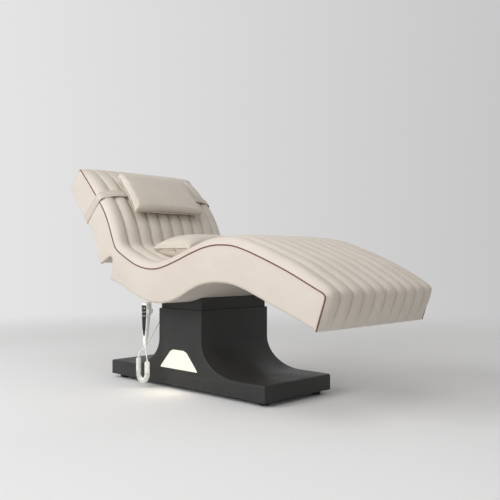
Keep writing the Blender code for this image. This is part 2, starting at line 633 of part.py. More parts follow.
# Pillows: a seamed cushion from two crowned faces
def cushion(name, centre, ex, ey, ez, half_x, half_y, top, bottom, rim, rest=None, pull_in=1.0):
    centre, ex, ey, ez = (np.array(v, float) for v in (centre, ex, ey, ez))
    us = np.sin(np.linspace(-1, 1, 9) * math.pi / 2)
    loops = []
    for v in np.sin(np.linspace(-1, 1, 13) * math.pi / 2):
        swell = (1 - abs(v) ** 3.2) ** 0.55 if abs(v) < 1 else 0.0
        loop = []
        for u, height in [(u, top) for u in us] + [(u, -bottom) for u in us[::-1]]:
            lift = (1 - abs(u) ** 2.6) ** 0.55 if abs(u) < 0.9999 else 0.0
            pull = 1 - 0.05 * pull_in * abs(v) ** 6
            side = 1 - 0.04 * pull_in * abs(u) ** 6
            edge = rim if height > 0 else -rim
            z = edge + height * swell * lift
            p = centre + ex * u * half_x * pull + ey * v * half_y * side + ez * z
            if rest and height < 0:
                p[2] = max(p[2], rest(p[0]))
            loop.append(tuple(p))
        loops.append(loop)
    return loft(name, loops, LEATHER)


slant = np.array(in_back(0.42, 0)) - np.array(in_back(0.28, 0))
slant /= np.linalg.norm(slant)
front = np.array([slant[1], -slant[0]])
strap_mid = np.array(in_back(STRAP_AT, 0))
PILLOW_REST = CROWN + 0.5 * ROLL + 0.0010 + STRAP_SHEET + 2 * GAP
middle = strap_mid + front * (PILLOW_REST + PILLOW_RIM + 0.004) - slant * PILLOW_DOWN
cushion("head_pillow", (middle[0], PILLOW_ASIDE, middle[1]), (slant[0], 0, slant[1]), (0, 1, 0),
        (front[0], 0, front[1]), PILLOW[0] / 2, PILLOW[1] / 2, PILLOW_CROWN, 0.004, PILLOW_RIM,
        pull_in=0.3)


def strap_loop(grow):
    side, low = half + 0.0012 + grow, -thickness(STRAP_AT) - 0.0035 - grow
    high = CROWN + 0.5 * ROLL + 0.0010 + grow
    return [(-side, low), (side, low), (side, 0.016), (0.325, 0.036 + 0.5 * grow), (0.285, high),
            (-0.285, high), (-0.325, 0.036 + 0.5 * grow), (-side, 0.016)]


def strap_ring(grow, shift):
    points = []
    for y, n in strap_loop(grow):
        p = strap_mid + front * n + slant * shift
        points.append((p[0], y, p[1]))
    return points


reach = STRAP_WIDTH / 2
loft("pillow_strap", [strap_ring(0, -reach), strap_ring(0, reach), strap_ring(STRAP_SHEET, reach),
                      strap_ring(STRAP_SHEET, -reach)], LEATHER, ring=True)
cushion("lumbar_pillow", (LUMBAR_AT[0], 0, LUMBAR_AT[1]), (1, 0, 0), (0, 1, 0), (0, 0, 1), LUMBAR[0] / 2,
        LUMBAR[1] / 2, 0.050, 0.047, 0.003, lambda x: along(seat_crest, x) + 2 * GAP)

# Control box under the seat, handset with its clip and keys, and the curly cord
xs = np.linspace(*CASE_X, 5)
case = [(x, CASE_LOW) for x in CASE_X] + under_edge(xs[::-1], SEAT_REST)
soften(prism("control_box", case, *CASE_Y, BLACK), 0.003, 1)
hx, hy, low, high = HANDSET
front_y, rear_y = hy - HANDSET_FRONT, hy + HANDSET_REAR[1]
right = [(0.0068, low), (0.0082, low + 0.014), (0.0112, low + 0.045), (0.0150, low + 0.085),
         (0.0180, low + 0.130), (0.0195, high - 0.012), (0.0150, high)]
shape = [(hx + x, z) for x, z in right] + [(hx - x, z) for x, z in reversed(right)]
handset = prism("handset_body", shape, front_y, rear_y, WHITE)
for vert in handset.data.vertices:
    if vert.co.y > hy:
        share = (vert.co.z - low) / (high - low)
        vert.co.y = hy + HANDSET_REAR[0] + (HANDSET_REAR[1] - HANDSET_REAR[0]) * share
soften(handset, 0.0025, 2)
panel = [(hx + x, z) for x, z in ((0.0, low + 0.042), (0.0060, low + 0.052), (0.0112, low + 0.082),
                                  (0.0146, low + 0.130), (0.0160, high - 0.014))]
panel += [(2 * hx - x, z) for x, z in reversed(panel[1:])]
keys = [(hx + s * KEY_SPREAD, high - row) for row in KEY_ROWS for s in (-1, 1)]
key_x, key_z = KEY[0] / 2, KEY[1] / 2


def key_box(name, at, y0, y1, grow, look):
    x, z = key_x + grow, key_z + grow
    return box(name, (at[0] - x, at[0] + x), (front_y + y0, front_y + y1), (at[1] - z, at[1] + z), look)


wells = [key_box("well", at, -0.01, 0.0048, KEY_GAP + GAP, BLACK) for at in keys]
combine(handset, [prism("recess", panel, front_y - 0.01, front_y + 0.0015, BLACK)] + wells, "DIFFERENCE")


def shrunk(points, by):
    mid = np.mean(np.array(points), axis=0)
    return [tuple(mid + (np.array(p) - mid) * (1 - by)) for p in points]


face = prism("handset_keypad", shrunk(panel, 0.02), front_y - 0.0002, front_y + 0.0012, BLACK)
combine(face, [key_box("hole", at, -0.01, 0.01, KEY_GAP, BLACK) for at in keys], "DIFFERENCE")
for number, at in enumerate(keys, 1):
    soften(key_box(f"key_{number}", at, -KEY_TRAVEL - 0.0006, 0.0044 - KEY_TRAVEL, 0, STEEL), 0.0008, 1)

seat_under = [(x, along(under, x) - 0.0008) for x in (hx - 0.020, hx + 0.020)]
plate_low = seat_under[1][1] - 0.004
plate = seat_under + [(hx + 0.020, plate_low), (hx - 0.020, plate_low)]
clip = prism("handset_clip", plate, rear_y + 0.0008, rear_y + 0.050, WHITE)
behind = (rear_y + 0.0008, rear_y + 0.0048)
stem = box("stem", (hx - 0.012, hx + 0.012), behind, (high - 0.057, plate_low + 0.002), WHITE)
grip = box("grip", (hx - 0.0236, hx + 0.0236), (hy - 0.002, behind[1]), (high - 0.047, high - 0.029), WHITE)
room = box("room", (hx - 0.0201, hx + 0.0201), (hy - 0.02, behind[0]), (high - 0.062, high - 0.012), WHITE)
combine(grip, [room], "DIFFERENCE")
lip_low = plate_low - 0.012
hook_x = (hx - 0.015, hx + 0.015)
lip = box("lip", hook_x, (rear_y + 0.0460, rear_y + 0.0495), (lip_low, plate_low + 0.002), WHITE)
curl = box("curl", hook_x, (rear_y + 0.0400, rear_y + 0.0495), (lip_low - 0.003, lip_low + 0.0005), WHITE)
combine(clip, [stem, grip, lip, curl])


def cord_points():
    legs = [(hx, hy, low - 0.0005), (hx, hy, low - 0.014), (hx + 0.003, hy, low - 0.030),
            (hx + 0.009, hy, low - 0.048), (hx + 0.013, hy, low - 0.066)]
    turn_z, turn_x = CORD_LOW + CORD_TURN, hx + 0.013 - CORD_TURN
    count = max(2, round((low - 0.066 - turn_z) / 0.018))
    legs += [(hx + 0.013, hy, z) for z in np.linspace(low - 0.066, turn_z, count + 1)[1:-1]]
    turn = [(turn_x + CORD_TURN * math.cos(a), hy, turn_z - CORD_TURN * math.sin(a))
            for a in np.linspace(0, math.pi, 7)]
    left_x, left_z = turn_x - CORD_TURN, low - 0.053
    count = max(2, round((left_z - turn_z) / 0.018))
    rise = [(left_x, hy, z) for z in np.linspace(turn_z, left_z, count + 1)[1:]]
    curl_end = rise[-1]
    case_x, case_y = CASE_X[0] + 0.090, CASE_Y[0] + 0.023
    rise += [(x, hy + share * (case_y - hy), z) for x, share, z in (
        (left_x + 0.002, 0.02, low - 0.035), (left_x + 0.010, 0.19, low - 0.005),
        (left_x + 0.014, 0.49, low + 0.067), (left_x + 0.006, 0.79, CASE_LOW - 0.069),
        (case_x + 0.005, 0.97, CASE_LOW - 0.026),
        (case_x, 1, CASE_LOW - 0.010), (case_x, 1, CASE_LOW - 0.0005))]
    line = spline(legs + turn + rise, 24)
    along_line = lengths(line)
    start = along_line[np.argmin(np.linalg.norm(line - np.array(legs[4]), axis=1))]
    stop = along_line[np.argmin(np.linalg.norm(line - np.array(curl_end), axis=1))]
    bend = [along_line[np.argmin(np.linalg.norm(line - np.array(p), axis=1))] for p in (turn[0], turn[-1])]
    fine = np.linspace(start, stop, 2000)
    away = np.maximum(0, np.maximum(bend[0] - fine, fine - bend[1]))
    away = np.minimum(away, np.minimum(fine - start, stop - fine)) / TURN_RAMP
    pitch = TURN_PITCH + (CURL_PITCH - TURN_PITCH) * np.minimum(1, away)
    turns = np.concatenate([[0], np.cumsum(np.diff(fine) * 2 / (pitch[1:] + pitch[:-1]))])
    curls = round(turns[-1])
    turns *= curls / turns[-1]
    before = np.linspace(0, start, 8, endpoint=False)
    coil = np.interp(np.linspace(0, curls, curls * CURL_POINTS, endpoint=False), turns, fine)
    after = np.linspace(stop, along_line[-1], 16)
    spots, out, frame = np.concatenate([before, coil, after]), [], None
    for s in spots:
        at = Vector([np.interp(s, along_line, line[:, k]) for k in range(3)])
        ahead = Vector([np.interp(s + 1e-4, along_line, line[:, k]) for k in range(3)])
        back = Vector([np.interp(s - 1e-4, along_line, line[:, k]) for k in range(3)])
        t = (ahead - back).normalized()
        frame = frame or Vector((1, 0, 0))
        frame = (frame - t * frame.dot(t)).normalized()
        grow = min(1.0, max(0.0, (s - start) / 0.010), max(0.0, (stop - s) / 0.010))
        grow = float(grow) if start <= s <= stop else 0.0
        angle = 2 * math.pi * float(np.interp(s, fine, turns))
        out.append(at + CURL_RADIUS * grow * (frame * math.cos(angle) + t.cross(frame) * math.sin(angle)))
    return out, curls


points, curls = cord_points()
curve = bpy.data.curves.new("handset_cord", "CURVE")
curve.dimensions, curve.bevel_depth, curve.bevel_resolution, curve.use_fill_caps = "3D", WIRE / 2, 1, True
line = curve.splines.new("POLY")
line.points.add(len(points) - 1)
for spot, p in zip(line.points, points):
    spot.co = (*p, 1)
tube = bpy.data.objects.new("tube", curve)
bpy.context.collection.objects.link(tube)
bm = bmesh.new()
bm.from_mesh(bpy.data.meshes.new_from_object(tube))
bpy.data.objects.remove(tube)
finish("handset_cord", bm, WHITE)
spots = np.array([tuple(p) for p in points])
run = lengths(spots)
apart = np.abs(run[:, None] - run[None, :]) > 3.5 * WIRE
nearest = np.min(np.linalg.norm(spots[:, None] - spots[None], axis=2)[apart])
print(f"handset_cord: {curls} curls, {run[-1]:.3f} m, least gap {1000 * (nearest - WIRE):.2f} mm")

# Move the whole bed so that the origin is under the middle of its box
bpy.context.view_layer.update()
solids = [o for o in bpy.data.objects if o.name != "handset_cord"]
reach = [(o.matrix_world @ v.co).x for o in solids for v in o.data.vertices]
shift = -(min(reach) + max(reach)) / 2
for made in bpy.data.objects:
    made.location.x += shift
print(f"origin shift {shift:.5f}, hinge x {HINGE[0] + shift:.5f}")
print("back drive axis", [round(float(v), 5) for v in push],
      "pillow axis", [round(float(v), 5) for v in slant])
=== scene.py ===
from math import copysign, cos, exp, hypot, pi, radians, sin
import bmesh
import bpy
import numpy as np
from mathutils import Matrix, Vector
from mathutils.bvhtree import BVHTree


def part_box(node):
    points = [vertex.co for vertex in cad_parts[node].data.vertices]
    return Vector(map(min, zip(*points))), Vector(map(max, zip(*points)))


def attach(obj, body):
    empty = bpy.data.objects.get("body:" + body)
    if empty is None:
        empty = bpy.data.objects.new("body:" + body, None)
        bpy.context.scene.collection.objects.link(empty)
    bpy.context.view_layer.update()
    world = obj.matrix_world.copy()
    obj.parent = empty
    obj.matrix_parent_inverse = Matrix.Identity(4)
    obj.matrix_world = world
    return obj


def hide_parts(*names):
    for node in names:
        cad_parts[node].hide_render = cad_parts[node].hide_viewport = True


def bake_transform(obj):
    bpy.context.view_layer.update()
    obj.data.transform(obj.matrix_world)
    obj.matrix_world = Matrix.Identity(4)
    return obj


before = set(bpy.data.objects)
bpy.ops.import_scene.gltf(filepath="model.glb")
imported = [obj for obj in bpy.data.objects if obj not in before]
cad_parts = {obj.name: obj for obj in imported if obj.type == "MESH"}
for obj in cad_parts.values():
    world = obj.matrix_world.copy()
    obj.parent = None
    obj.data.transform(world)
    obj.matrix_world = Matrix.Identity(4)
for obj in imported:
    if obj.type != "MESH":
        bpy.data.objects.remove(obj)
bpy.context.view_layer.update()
plateLow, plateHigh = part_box("chassis_plate")
shiftX = (plateLow[0] + plateHigh[0]) / 2  # the wave and the base are drawn from the base's middle
scene = bpy.context.scene
bothSides = ((-1, "near"), (1, "far"))
quarter = pi / 2
print("frame loaded, shift", round(shiftX, 5))

# camera, matched to the photograph
cameraSetup = {"place": (2.39674, -2.20634, 0.59689), "azimuth": 44.384, "pitch": 0.662, "lens": 49.606}


def addObject(name, data):
    made = bpy.data.objects.new(name, data)
    scene.collection.objects.link(made)
    return made


def aimCamera(setup):
    azimuth, pitch = radians(setup["azimuth"]), radians(setup["pitch"])
    ahead = Vector((-sin(azimuth) * cos(pitch), cos(azimuth) * cos(pitch), sin(pitch)))
    right = Vector((cos(azimuth), sin(azimuth), 0))
    cam = addObject("camera", bpy.data.cameras.new("camera"))
    cam.data.lens = setup["lens"]
    turn = Matrix((right, right.cross(ahead), -ahead)).transposed().to_4x4()
    cam.matrix_world = Matrix.Translation(Vector(setup["place"]) + Vector((shiftX, 0, 0))) @ turn
    scene.camera = cam


aimCamera(cameraSetup)
bpy.context.scene.view_settings.view_transform = "Standard"
print("camera set")


# shader helpers: an input takes either a value or another node's output
def feed(tree, sockets, values):
    for key, value in values.items():
        if isinstance(value, bpy.types.NodeSocket):
            tree.links.new(value, sockets[key])
        else:
            sockets[key].default_value = value


def addNode(tree, kind, inputs=None, **settings):
    node = tree.nodes.new("ShaderNode" + kind)
    for key, value in settings.items():
        setattr(node, key, value)
    feed(tree, node.inputs, inputs or {})
    return node


def mathNode(tree, operation, a, b):
    return addNode(tree, "Math", {0: a, 1: b}, operation=operation).outputs[0]


def dotNode(tree, a, b):
    return addNode(tree, "VectorMath", {0: a, 1: b}, operation="DOT_PRODUCT").outputs["Value"]


def tintNode(tree, share, first, second):
    return addNode(tree, "Mix", {0: share, 6: first, 7: second}, data_type="RGBA").outputs[2]


def rangeNode(tree, value, start, end, low=0.0, high=1.0, curve="LINEAR"):
    inputs = {"Value": value, "From Min": start, "From Max": end, "To Min": low, "To Max": high}
    return addNode(tree, "MapRange", inputs, interpolation_type=curve).outputs["Result"]


# shared shader effects
def newGroup(name, label, size, *results):
    tree = bpy.data.node_groups.new(name, "ShaderNodeTree")
    tree.interface.new_socket("Vector", in_out="INPUT", socket_type="NodeSocketVector")
    tree.interface.new_socket(label, in_out="INPUT", socket_type="NodeSocketFloat").default_value = size
    for result in results:
        tree.interface.new_socket(result, in_out="OUTPUT", socket_type="NodeSocketFloat")
    start, end = tree.nodes.new("NodeGroupInput"), tree.nodes.new("NodeGroupOutput")
    return tree, start.outputs["Vector"], start.outputs[label], end.inputs


def makeHideGrain():
    # pebbled hide: cells of two sizes with fine pores between them
    tree, vector, scale, end = newGroup("hideGrain", "Scale", 420.0, "Height", "Tone")
    warp = addNode(tree, "TexNoise", {"Vector": vector, "Scale": 90.0, "Detail": 2.0})
    warped = addNode(tree, "Mix", {0: 0.004, 4: vector, 5: warp.outputs["Color"]}, data_type="VECTOR")
    pebble = addNode(tree, "TexVoronoi", {"Vector": warped.outputs[1], "Scale": scale}, feature="SMOOTH_F1")
    largeScale = mathNode(tree, "MULTIPLY", scale, 0.08)
    large = addNode(tree, "TexNoise", {"Vector": vector, "Scale": largeScale, "Detail": 3.0}).outputs["Fac"]
    dome = mathNode(tree, "SUBTRACT", 1.0, pebble.outputs["Distance"])
    feed(tree, end, {"Height": mathNode(tree, "ADD", dome, mathNode(tree, "MULTIPLY", large, 0.9)),
                     "Tone": mathNode(tree, "MULTIPLY", dome, large)})
    return tree


def makeSoftWear():
    # slow cloudy change of tone and gloss, with a few stronger patches
    tree, vector, scale, end = newGroup("softWear", "Scale", 6.0, "Mask")
    cloud = addNode(tree, "TexNoise", {"Vector": vector, "Scale": scale, "Detail": 5.0, "Roughness": 0.62})
    feed(tree, end, {"Mask": rangeNode(tree, cloud.outputs["Fac"], 0.34, 0.70, curve="SMOOTHSTEP")})
    return tree


def makeSpeckle():
    # fine sprayed or moulded texture
    tree, vector, scale, end = newGroup("speckle", "Scale", 900.0, "Height")
    grit = addNode(tree, "TexNoise", {"Vector": vector, "Scale": scale, "Detail": 2.0, "Roughness": 0.7})
    feed(tree, end, {"Height": grit.outputs["Fac"]})
    return tree


def makePaintedEdgeHighlight():
    # painted highlight along the edges: where a rounded normal leaves the face's own normal there is an edge, broken up
    # by a fine noise, and the colour is lightened there
    tree, vector, radius, end = newGroup("paintedEdgeHighlight", "Radius", 0.002, "Mask")
    rounded = addNode(tree, "Bevel", {"Radius": radius}, samples=6).outputs["Normal"]
    turn = dotNode(tree, rounded, addNode(tree, "NewGeometry").outputs["Normal"])
    edge = rangeNode(tree, turn, 0.995, 0.90, curve="SMOOTHSTEP")
    broken = addNode(tree, "TexNoise", {"Vector": vector, "Scale": 140.0, "Detail": 4.0})
    feed(tree, end, {"Mask": mathNode(tree, "MULTIPLY", edge, broken.outputs["Fac"])})
    return tree


textures = {"grain": makeHideGrain(), "speckle": makeSpeckle()}
softWear, paintedEdgeHighlight = makeSoftWear(), makePaintedEdgeHighlight()

# finishes: light tone, dark tone, gloss range, texture with its scale and depth, scale of the wear, what else applies
finishes = {
    "beigeLeather": ((0.640, 0.584, 0.520), (0.577, 0.516, 0.445), (0.40, 0.54), "grain", 430.0, 0.00022, 5.0,
                     {"sheen": 0.15}),
    "strapLeather": ((0.625, 0.567, 0.501), (0.542, 0.481, 0.412), (0.42, 0.56), "grain", 520.0, 0.0002, 9.0,
                     {"sheen": 0.10}),
    "maroonPiping": ((0.190, 0.066, 0.058), (0.125, 0.040, 0.036), (0.38, 0.52), "grain", 800.0, 0.0002, 22.0, {}),
    # the welt is a real seam, and its darker tone is painted shade in the seam lines under the cushion's overhanging
    # upper half
    "weltWithPaintedShade": ((0.42, 0.355, 0.29), (0.33, 0.27, 0.215), (0.45, 0.58), "grain", 900.0, 0.0001, 30.0, {}),
    "seamThread": ((0.60, 0.51, 0.42), (0.48, 0.40, 0.32), (0.55, 0.7), "speckle", 2500.0, 0.00015, 80.0, {}),
    # blackCover, darkSteel and blackPlastic carry a lighter tone painted along their edges as a highlight
    "blackCover": ((0.033, 0.033, 0.0324), (0.026, 0.026, 0.026), (0.42, 0.54), "speckle", 1300.0, 0.00008, 7.0,
                   {"shine": 0.27, "paintedHighlightTone": (0.075, 0.075, 0.074), "paintedHighlightReach": 0.0025}),
    "darkSteel": ((0.30, 0.30, 0.31), (0.19, 0.19, 0.20), (0.28, 0.46), "speckle", 500.0, 0.00005, 16.0,
                  {"metal": 1.0, "paintedHighlightTone": (0.50, 0.50, 0.51), "paintedHighlightReach": 0.0015}),
    "brightSteel": ((0.62, 0.62, 0.63), (0.48, 0.48, 0.50), (0.18, 0.30), "speckle", 700.0, 0.00002, 25.0,
                    {"metal": 1.0}),
    "blackPlastic": ((0.022, 0.022, 0.023), (0.014, 0.014, 0.015), (0.42, 0.58), "speckle", 1800.0, 0.00010, 14.0,
                     {"paintedHighlightTone": (0.045, 0.045, 0.046), "paintedHighlightReach": 0.001}),
    "blackPanel": ((0.010, 0.010, 0.011), (0.007, 0.007, 0.008), (0.30, 0.42), "speckle", 1800.0, 0.00003, 30.0,
                   {"shine": 0.3}),
    "blackRubber": ((0.020, 0.020, 0.020), (0.012, 0.012, 0.012), (0.66, 0.85), "speckle", 700.0, 0.00020, 40.0, {}),
    "plywood": ((0.60, 0.44, 0.28), (0.45, 0.31, 0.18), (0.55, 0.7), "speckle", 160.0, 0.0002, 12.0, {}),
    "whitePlastic": ((0.92, 0.92, 0.90), (0.87, 0.87, 0.85), (0.26, 0.38), "speckle", 1500.0, 0.00005, 12.0, {}),
    "greyKeys": ((0.055, 0.056, 0.058), (0.038, 0.039, 0.041), (0.40, 0.55), "speckle", 2200.0, 0.00006, 60.0, {}),
    "keyMark": ((0.85, 0.86, 0.85), (0.70, 0.71, 0.70), (0.35, 0.45), "speckle", 2000.0, 0.00002, 90.0, {}),
}


def newMaterial(name):
    material = bpy.data.materials.new(name)
    material.use_nodes = True
    tree = material.node_tree
    return material, tree, tree.nodes["Principled BSDF"], addNode(tree, "TexCoord").outputs["Object"]


def useGroup(tree, group, coords, label, size):
    return addNode(tree, "Group", {"Vector": coords, label: size}, node_tree=group).outputs


def makeFinish(name, light, dark, gloss, texture, scale, depth, wear, extra):
    material, tree, shader, coords = newMaterial(name)
    cloud = useGroup(tree, softWear, coords, "Scale", wear)["Mask"]
    skin = useGroup(tree, textures[texture], coords, "Scale", scale)
    mask = cloud
    if texture == "grain":
        pores = mathNode(tree, "MULTIPLY", skin["Tone"], 0.5)
        mask = mathNode(tree, "ADD", mathNode(tree, "MULTIPLY", cloud, 0.6), pores)
    colour = tintNode(tree, mask, (*dark, 1), (*light, 1))
    # a lighter tone painted along the edges as a highlight
    if "paintedHighlightTone" in extra:
        paintedHighlight = useGroup(tree, paintedEdgeHighlight, coords, "Radius", extra["paintedHighlightReach"])["Mask"]
        colour = tintNode(tree, paintedHighlight, colour, (*extra["paintedHighlightTone"], 1))
    bump = addNode(tree, "Bump", {"Strength": 1.0, "Distance": depth, "Height": skin["Height"]})
    feed(tree, shader.inputs, {
        "Base Color": colour, "Roughness": rangeNode(tree, cloud, 0.0, 1.0, *gloss), "Normal": bump.outputs["Normal"],
        "Metallic": extra.get("metal", 0.0), "Specular IOR Level": extra.get("shine", 0.5),
        "Sheen Weight": extra.get("sheen", 0.0)})
    return material


looks = {name: makeFinish(name, *row) for name, row in finishes.items()}
windowLight = {"colour": (1.0, 0.995, 0.86), "rim": (1.0, 0.975, 0.80), "strength": 0.96, "unlit": (0.05, 0.05, 0.045)}


def makeLitWindow(values):
    material, tree, shader, coords = newMaterial("litWindow")
    frost = useGroup(tree, softWear, coords, "Scale", 18.0)["Mask"]
    share = mathNode(tree, "ADD", mathNode(tree, "MULTIPLY", frost, 0.3), 0.7)
    feed(tree, shader.inputs, {
        "Base Color": (*values["unlit"], 1), "Roughness": 0.35, "Emission Strength": values["strength"],
        "Emission Color": tintNode(tree, share, (*values["rim"], 1), (*values["colour"], 1))})
    return material


looks["litWindow"] = makeLitWindow(windowLight)
print("finishes made", len(looks))


# mesh helpers
def fixNormals(bm):
    bmesh.ops.recalc_face_normals(bm, faces=bm.faces)


def roundEdges(bm, edges, offset, segments):
    bmesh.ops.bevel(bm, geom=edges, offset=offset, segments=segments, profile=0.5, affect="EDGES", material=-1)


def wrapGrid(section, stations, place):
    # a closed section carried from station to station
    section = [*section, section[0]]
    columns, rows = len(section) - 1, len(stations) - 1
    bm = bmesh.new()
    bmesh.ops.create_grid(bm, x_segments=columns, y_segments=rows, size=0.5)
    for vert in bm.verts:
        i, j = round((vert.co.x + 0.5) * columns), round((vert.co.y + 0.5) * rows)
        vert.co = place(*section[i], *stations[j])
    bmesh.ops.remove_doubles(bm, verts=bm.verts, dist=2e-6)
    bmesh.ops.dissolve_degenerate(bm, dist=1e-6, edges=bm.edges)
    rim = [edge for edge in bm.edges if edge.is_boundary]
    if rim:
        bmesh.ops.holes_fill(bm, edges=rim, sides=0)
    fixNormals(bm)
    return bm


def addPrism(bm, points, move):
    face = bm.faces.new([bm.verts.new(p) for p in points])
    pushed = bmesh.ops.extrude_face_region(bm, geom=[face])["geom"]
    bmesh.ops.translate(bm, verts=[g for g in pushed if isinstance(g, bmesh.types.BMVert)], vec=(0, move, 0))


def prismMesh(outline, y0, y1):
    bm = bmesh.new()
    addPrism(bm, [inSpace(p, y0) for p in outline], y1 - y0)
    fixNormals(bm)
    return bm


def addBox(bm, size, centre):
    made = bmesh.ops.create_cube(bm, size=1.0)["verts"]
    bmesh.ops.scale(bm, vec=size, verts=made)
    bmesh.ops.translate(bm, vec=centre, verts=made)


def loosePiece(name, bm):
    mesh = bpy.data.meshes.new(name)
    bm.to_mesh(mesh)
    bm.free()
    return addObject(name, mesh)


def makePiece(name, bm, finish, angle):
    piece = loosePiece(name, bm)
    piece.data.shade_smooth()
    piece.data.set_sharp_from_angle(angle=radians(angle))
    piece.data.materials.append(looks[finish])
    return piece


def leatherPiece(name, bm, angle, finish="beigeLeather"):
    return makePiece(name, bm, finish, angle)


def bakeModifiers(piece):
    bpy.context.view_layer.update()
    mesh = bpy.data.meshes.new_from_object(piece.evaluated_get(bpy.context.evaluated_depsgraph_get()))
    piece.modifiers.clear()
    piece.data = mesh
    return mesh


def cutFrom(piece, cutters):
    for cutter in cutters:
        step = piece.modifiers.new("cut", "BOOLEAN")
        step.operation, step.solver, step.object = "DIFFERENCE", "EXACT", cutter
    bakeModifiers(piece).set_sharp_from_angle(angle=radians(30))
    for cutter in cutters:
        bpy.data.objects.remove(cutter)


# line helpers: a line is an array of points, its run is the length from the start to each point
def inSpace(p, y):
    return (p[0] + shiftX, y, p[1])


def smoothLine(points, perSpan=6):
    p = [np.array(q, float) for q in points]
    p = [2 * p[0] - p[1]] + p + [2 * p[-1] - p[-2]]
    out = []
    for a, b, c, d in zip(p, p[1:], p[2:], p[3:]):
        for t in np.linspace(0, 1, perSpan, endpoint=False):
            out.append(0.5 * (2 * b + (c - a) * t + (2 * a - 5 * b + 4 * c - d) * t ** 2
                              + (3 * b - a - 3 * c + d) * t ** 3))
    return np.array(out + [p[-2]])


def unitRows(rows):
    return rows / np.linalg.norm(rows, axis=1)[:, None]


def turned(rows):
    return rows[:, ::-1] * (1, -1)


def runOf(line):
    return np.concatenate([[0], np.cumsum(np.linalg.norm(np.diff(line, axis=0), axis=1))])


def pointAt(s, run, line):
    return [np.interp(s, run, line[:, k]) for k in range(line.shape[1])]


def runNear(point, run, line):
    return run[np.argmin(np.linalg.norm(line - np.array(point), axis=1))]


def evenly(line, count):
    run = runOf(line)
    return np.stack(pointAt(np.linspace(0, run[-1], count), run, line), axis=1)


def blurred(values, reach):
    weights = np.exp(-0.5 * (np.arange(-3 * reach, 3 * reach + 1) / reach) ** 2)
    weights /= weights.sum()
    padded = np.pad(values, ((3 * reach, 3 * reach), (0, 0)), mode="edge")
    return np.stack([np.convolve(padded[:, k], weights, mode="valid") for k in range(values.shape[1])], axis=1)


def tubeAlong(points, radius, sides=8, closed=False):
    # one ring is carried from point to point
    points = [Vector(p) for p in points]
    last = len(points) - 1
    ahead = [(points[min(i + 1, last)] - points[max(i - 1, 0)]).normalized() for i in range(last + 1)]
    if closed:
        ahead[0] = ahead[-1] = (points[1] - points[-2]).normalized()
    side = ahead[0].orthogonal().normalized()
    rings = []
    for at, along in zip(points, ahead):
        side = (side - along * side.dot(along)).normalized()
        rings.append((at, side.copy(), along.cross(side)))
    if closed:
        rings[-1] = rings[0]

    def place(turn, at, across, over):
        return at + radius * (across * cos(turn) + over * sin(turn))

    return wrapGrid([(2 * pi * i / sides,) for i in range(sides)], rings, place)


# the wave: seam lines seen from the side, in metres from the base's middle
wave = {
    "halfWidth": 0.35, "cheek": 0.015, "channels": 10, "crown": 0.040, "crest": 0.005, "perChannel": 14,
    "stations": 240, "hinge": (-0.318, 0.615), "creaseAngle": 43.0,
    "seatLine": [(-0.294, 0.634), (-0.183, 0.581), (-0.108, 0.557), (-0.035, 0.548), (0.036, 0.554), (0.137, 0.582),
                 (0.234, 0.615), (0.326, 0.640), (0.415, 0.648), (0.526, 0.634), (0.732, 0.562), (0.907, 0.485)],
    "footEnd": [(0.926, 0.476), (0.936, 0.467), (0.936, 0.455), (0.918, 0.402), (0.897, 0.342)],
    "seatDepth": [(-0.30, 0.152), (-0.183, 0.139), (-0.035, 0.146), (0.12, 0.160), (0.265, 0.147), (0.415, 0.150),
                  (0.68, 0.157), (0.897, 0.147)],
    "seatRear": (-0.342, 0.494),
    "backLine": [(-0.297, 0.638), (-0.312, 0.662), (-0.331, 0.702), (-0.362, 0.768), (-0.402, 0.830),
                 (-0.458, 0.892), (-0.520, 0.957), (-0.588, 1.023)],
    "headEnd": [(-0.600, 1.033), (-0.613, 1.030), (-0.650, 0.990), (-0.688, 0.949)],
    "backThickness": [(0.00, 0.122), (0.12, 0.130), (0.24, 0.145), (0.42, 0.145), (0.50, 0.136)],
    "rearCorner": (-0.430, 0.573), "panelCorner": (-0.4315, 0.5635), "creaseReach": 0.065, "creaseBlur": 2,
    "footReach": 0.10,
}
hinge = np.array(wave["hinge"])
half = wave["halfWidth"]
seatTop = smoothLine(wave["seatLine"], 8)
backFront = smoothLine(wave["backLine"], 8)
backRun, backSlope = runOf(backFront), unitRows(np.gradient(backFront, axis=0))
footEdge, headEdge = np.array(wave["footEnd"][-1]), np.array(wave["headEnd"][-1])
underX = np.linspace(-0.28, footEdge[0], 60)
underZ = np.interp(underX, *seatTop.T) - np.interp(underX, *smoothLine(wave["seatDepth"]).T)
underLine = np.array([wave["seatRear"]] + list(zip(underX, underZ)))
underLine[-1] = footEdge


def inBack(s, depth):
    x, z = pointAt(s, backRun, backSlope)
    out = np.array([z, -x])
    return np.array(pointAt(s, backRun, backFront)) - depth * out / np.linalg.norm(out)


def backThick(s):
    return float(np.interp(s, *np.array(wave["backThickness"]).T))


rearLine = np.array([inBack(s, backThick(s)) for s in np.linspace(0.12, 0.47, 24)])


def nearShare(line, point, reach):
    return np.exp(-(np.linalg.norm(line - np.array(point), axis=1) / reach) ** 4)[:, None]


# the top seam from the foot's lower edge over the seat and the backrest to the head's lower edge
footFace = smoothLine(wave["footEnd"][::-1] + [wave["seatLine"][-1]])
headFace = smoothLine([wave["backLine"][-1]] + wave["headEnd"])
seamLine = evenly(np.concatenate([footFace[:-1], seatTop[::-1], backFront, headFace[1:]]), wave["stations"] + 1)
creaseNear = nearShare(seamLine, backFront[0], wave["creaseReach"])
seamLine = evenly(seamLine + (blurred(seamLine, wave["creaseBlur"]) - seamLine) * creaseNear, wave["stations"] + 1)
seamRun = runOf(seamLine)
seamAcross = turned(np.gradient(blurred(seamLine, 2), axis=0))
footNear = nearShare(seamLine, wave["footEnd"][1], wave["footReach"])
seamOut = unitRows(blurred(seamAcross, 2) * (1 - footNear) + blurred(seamAcross, 5) * footNear)


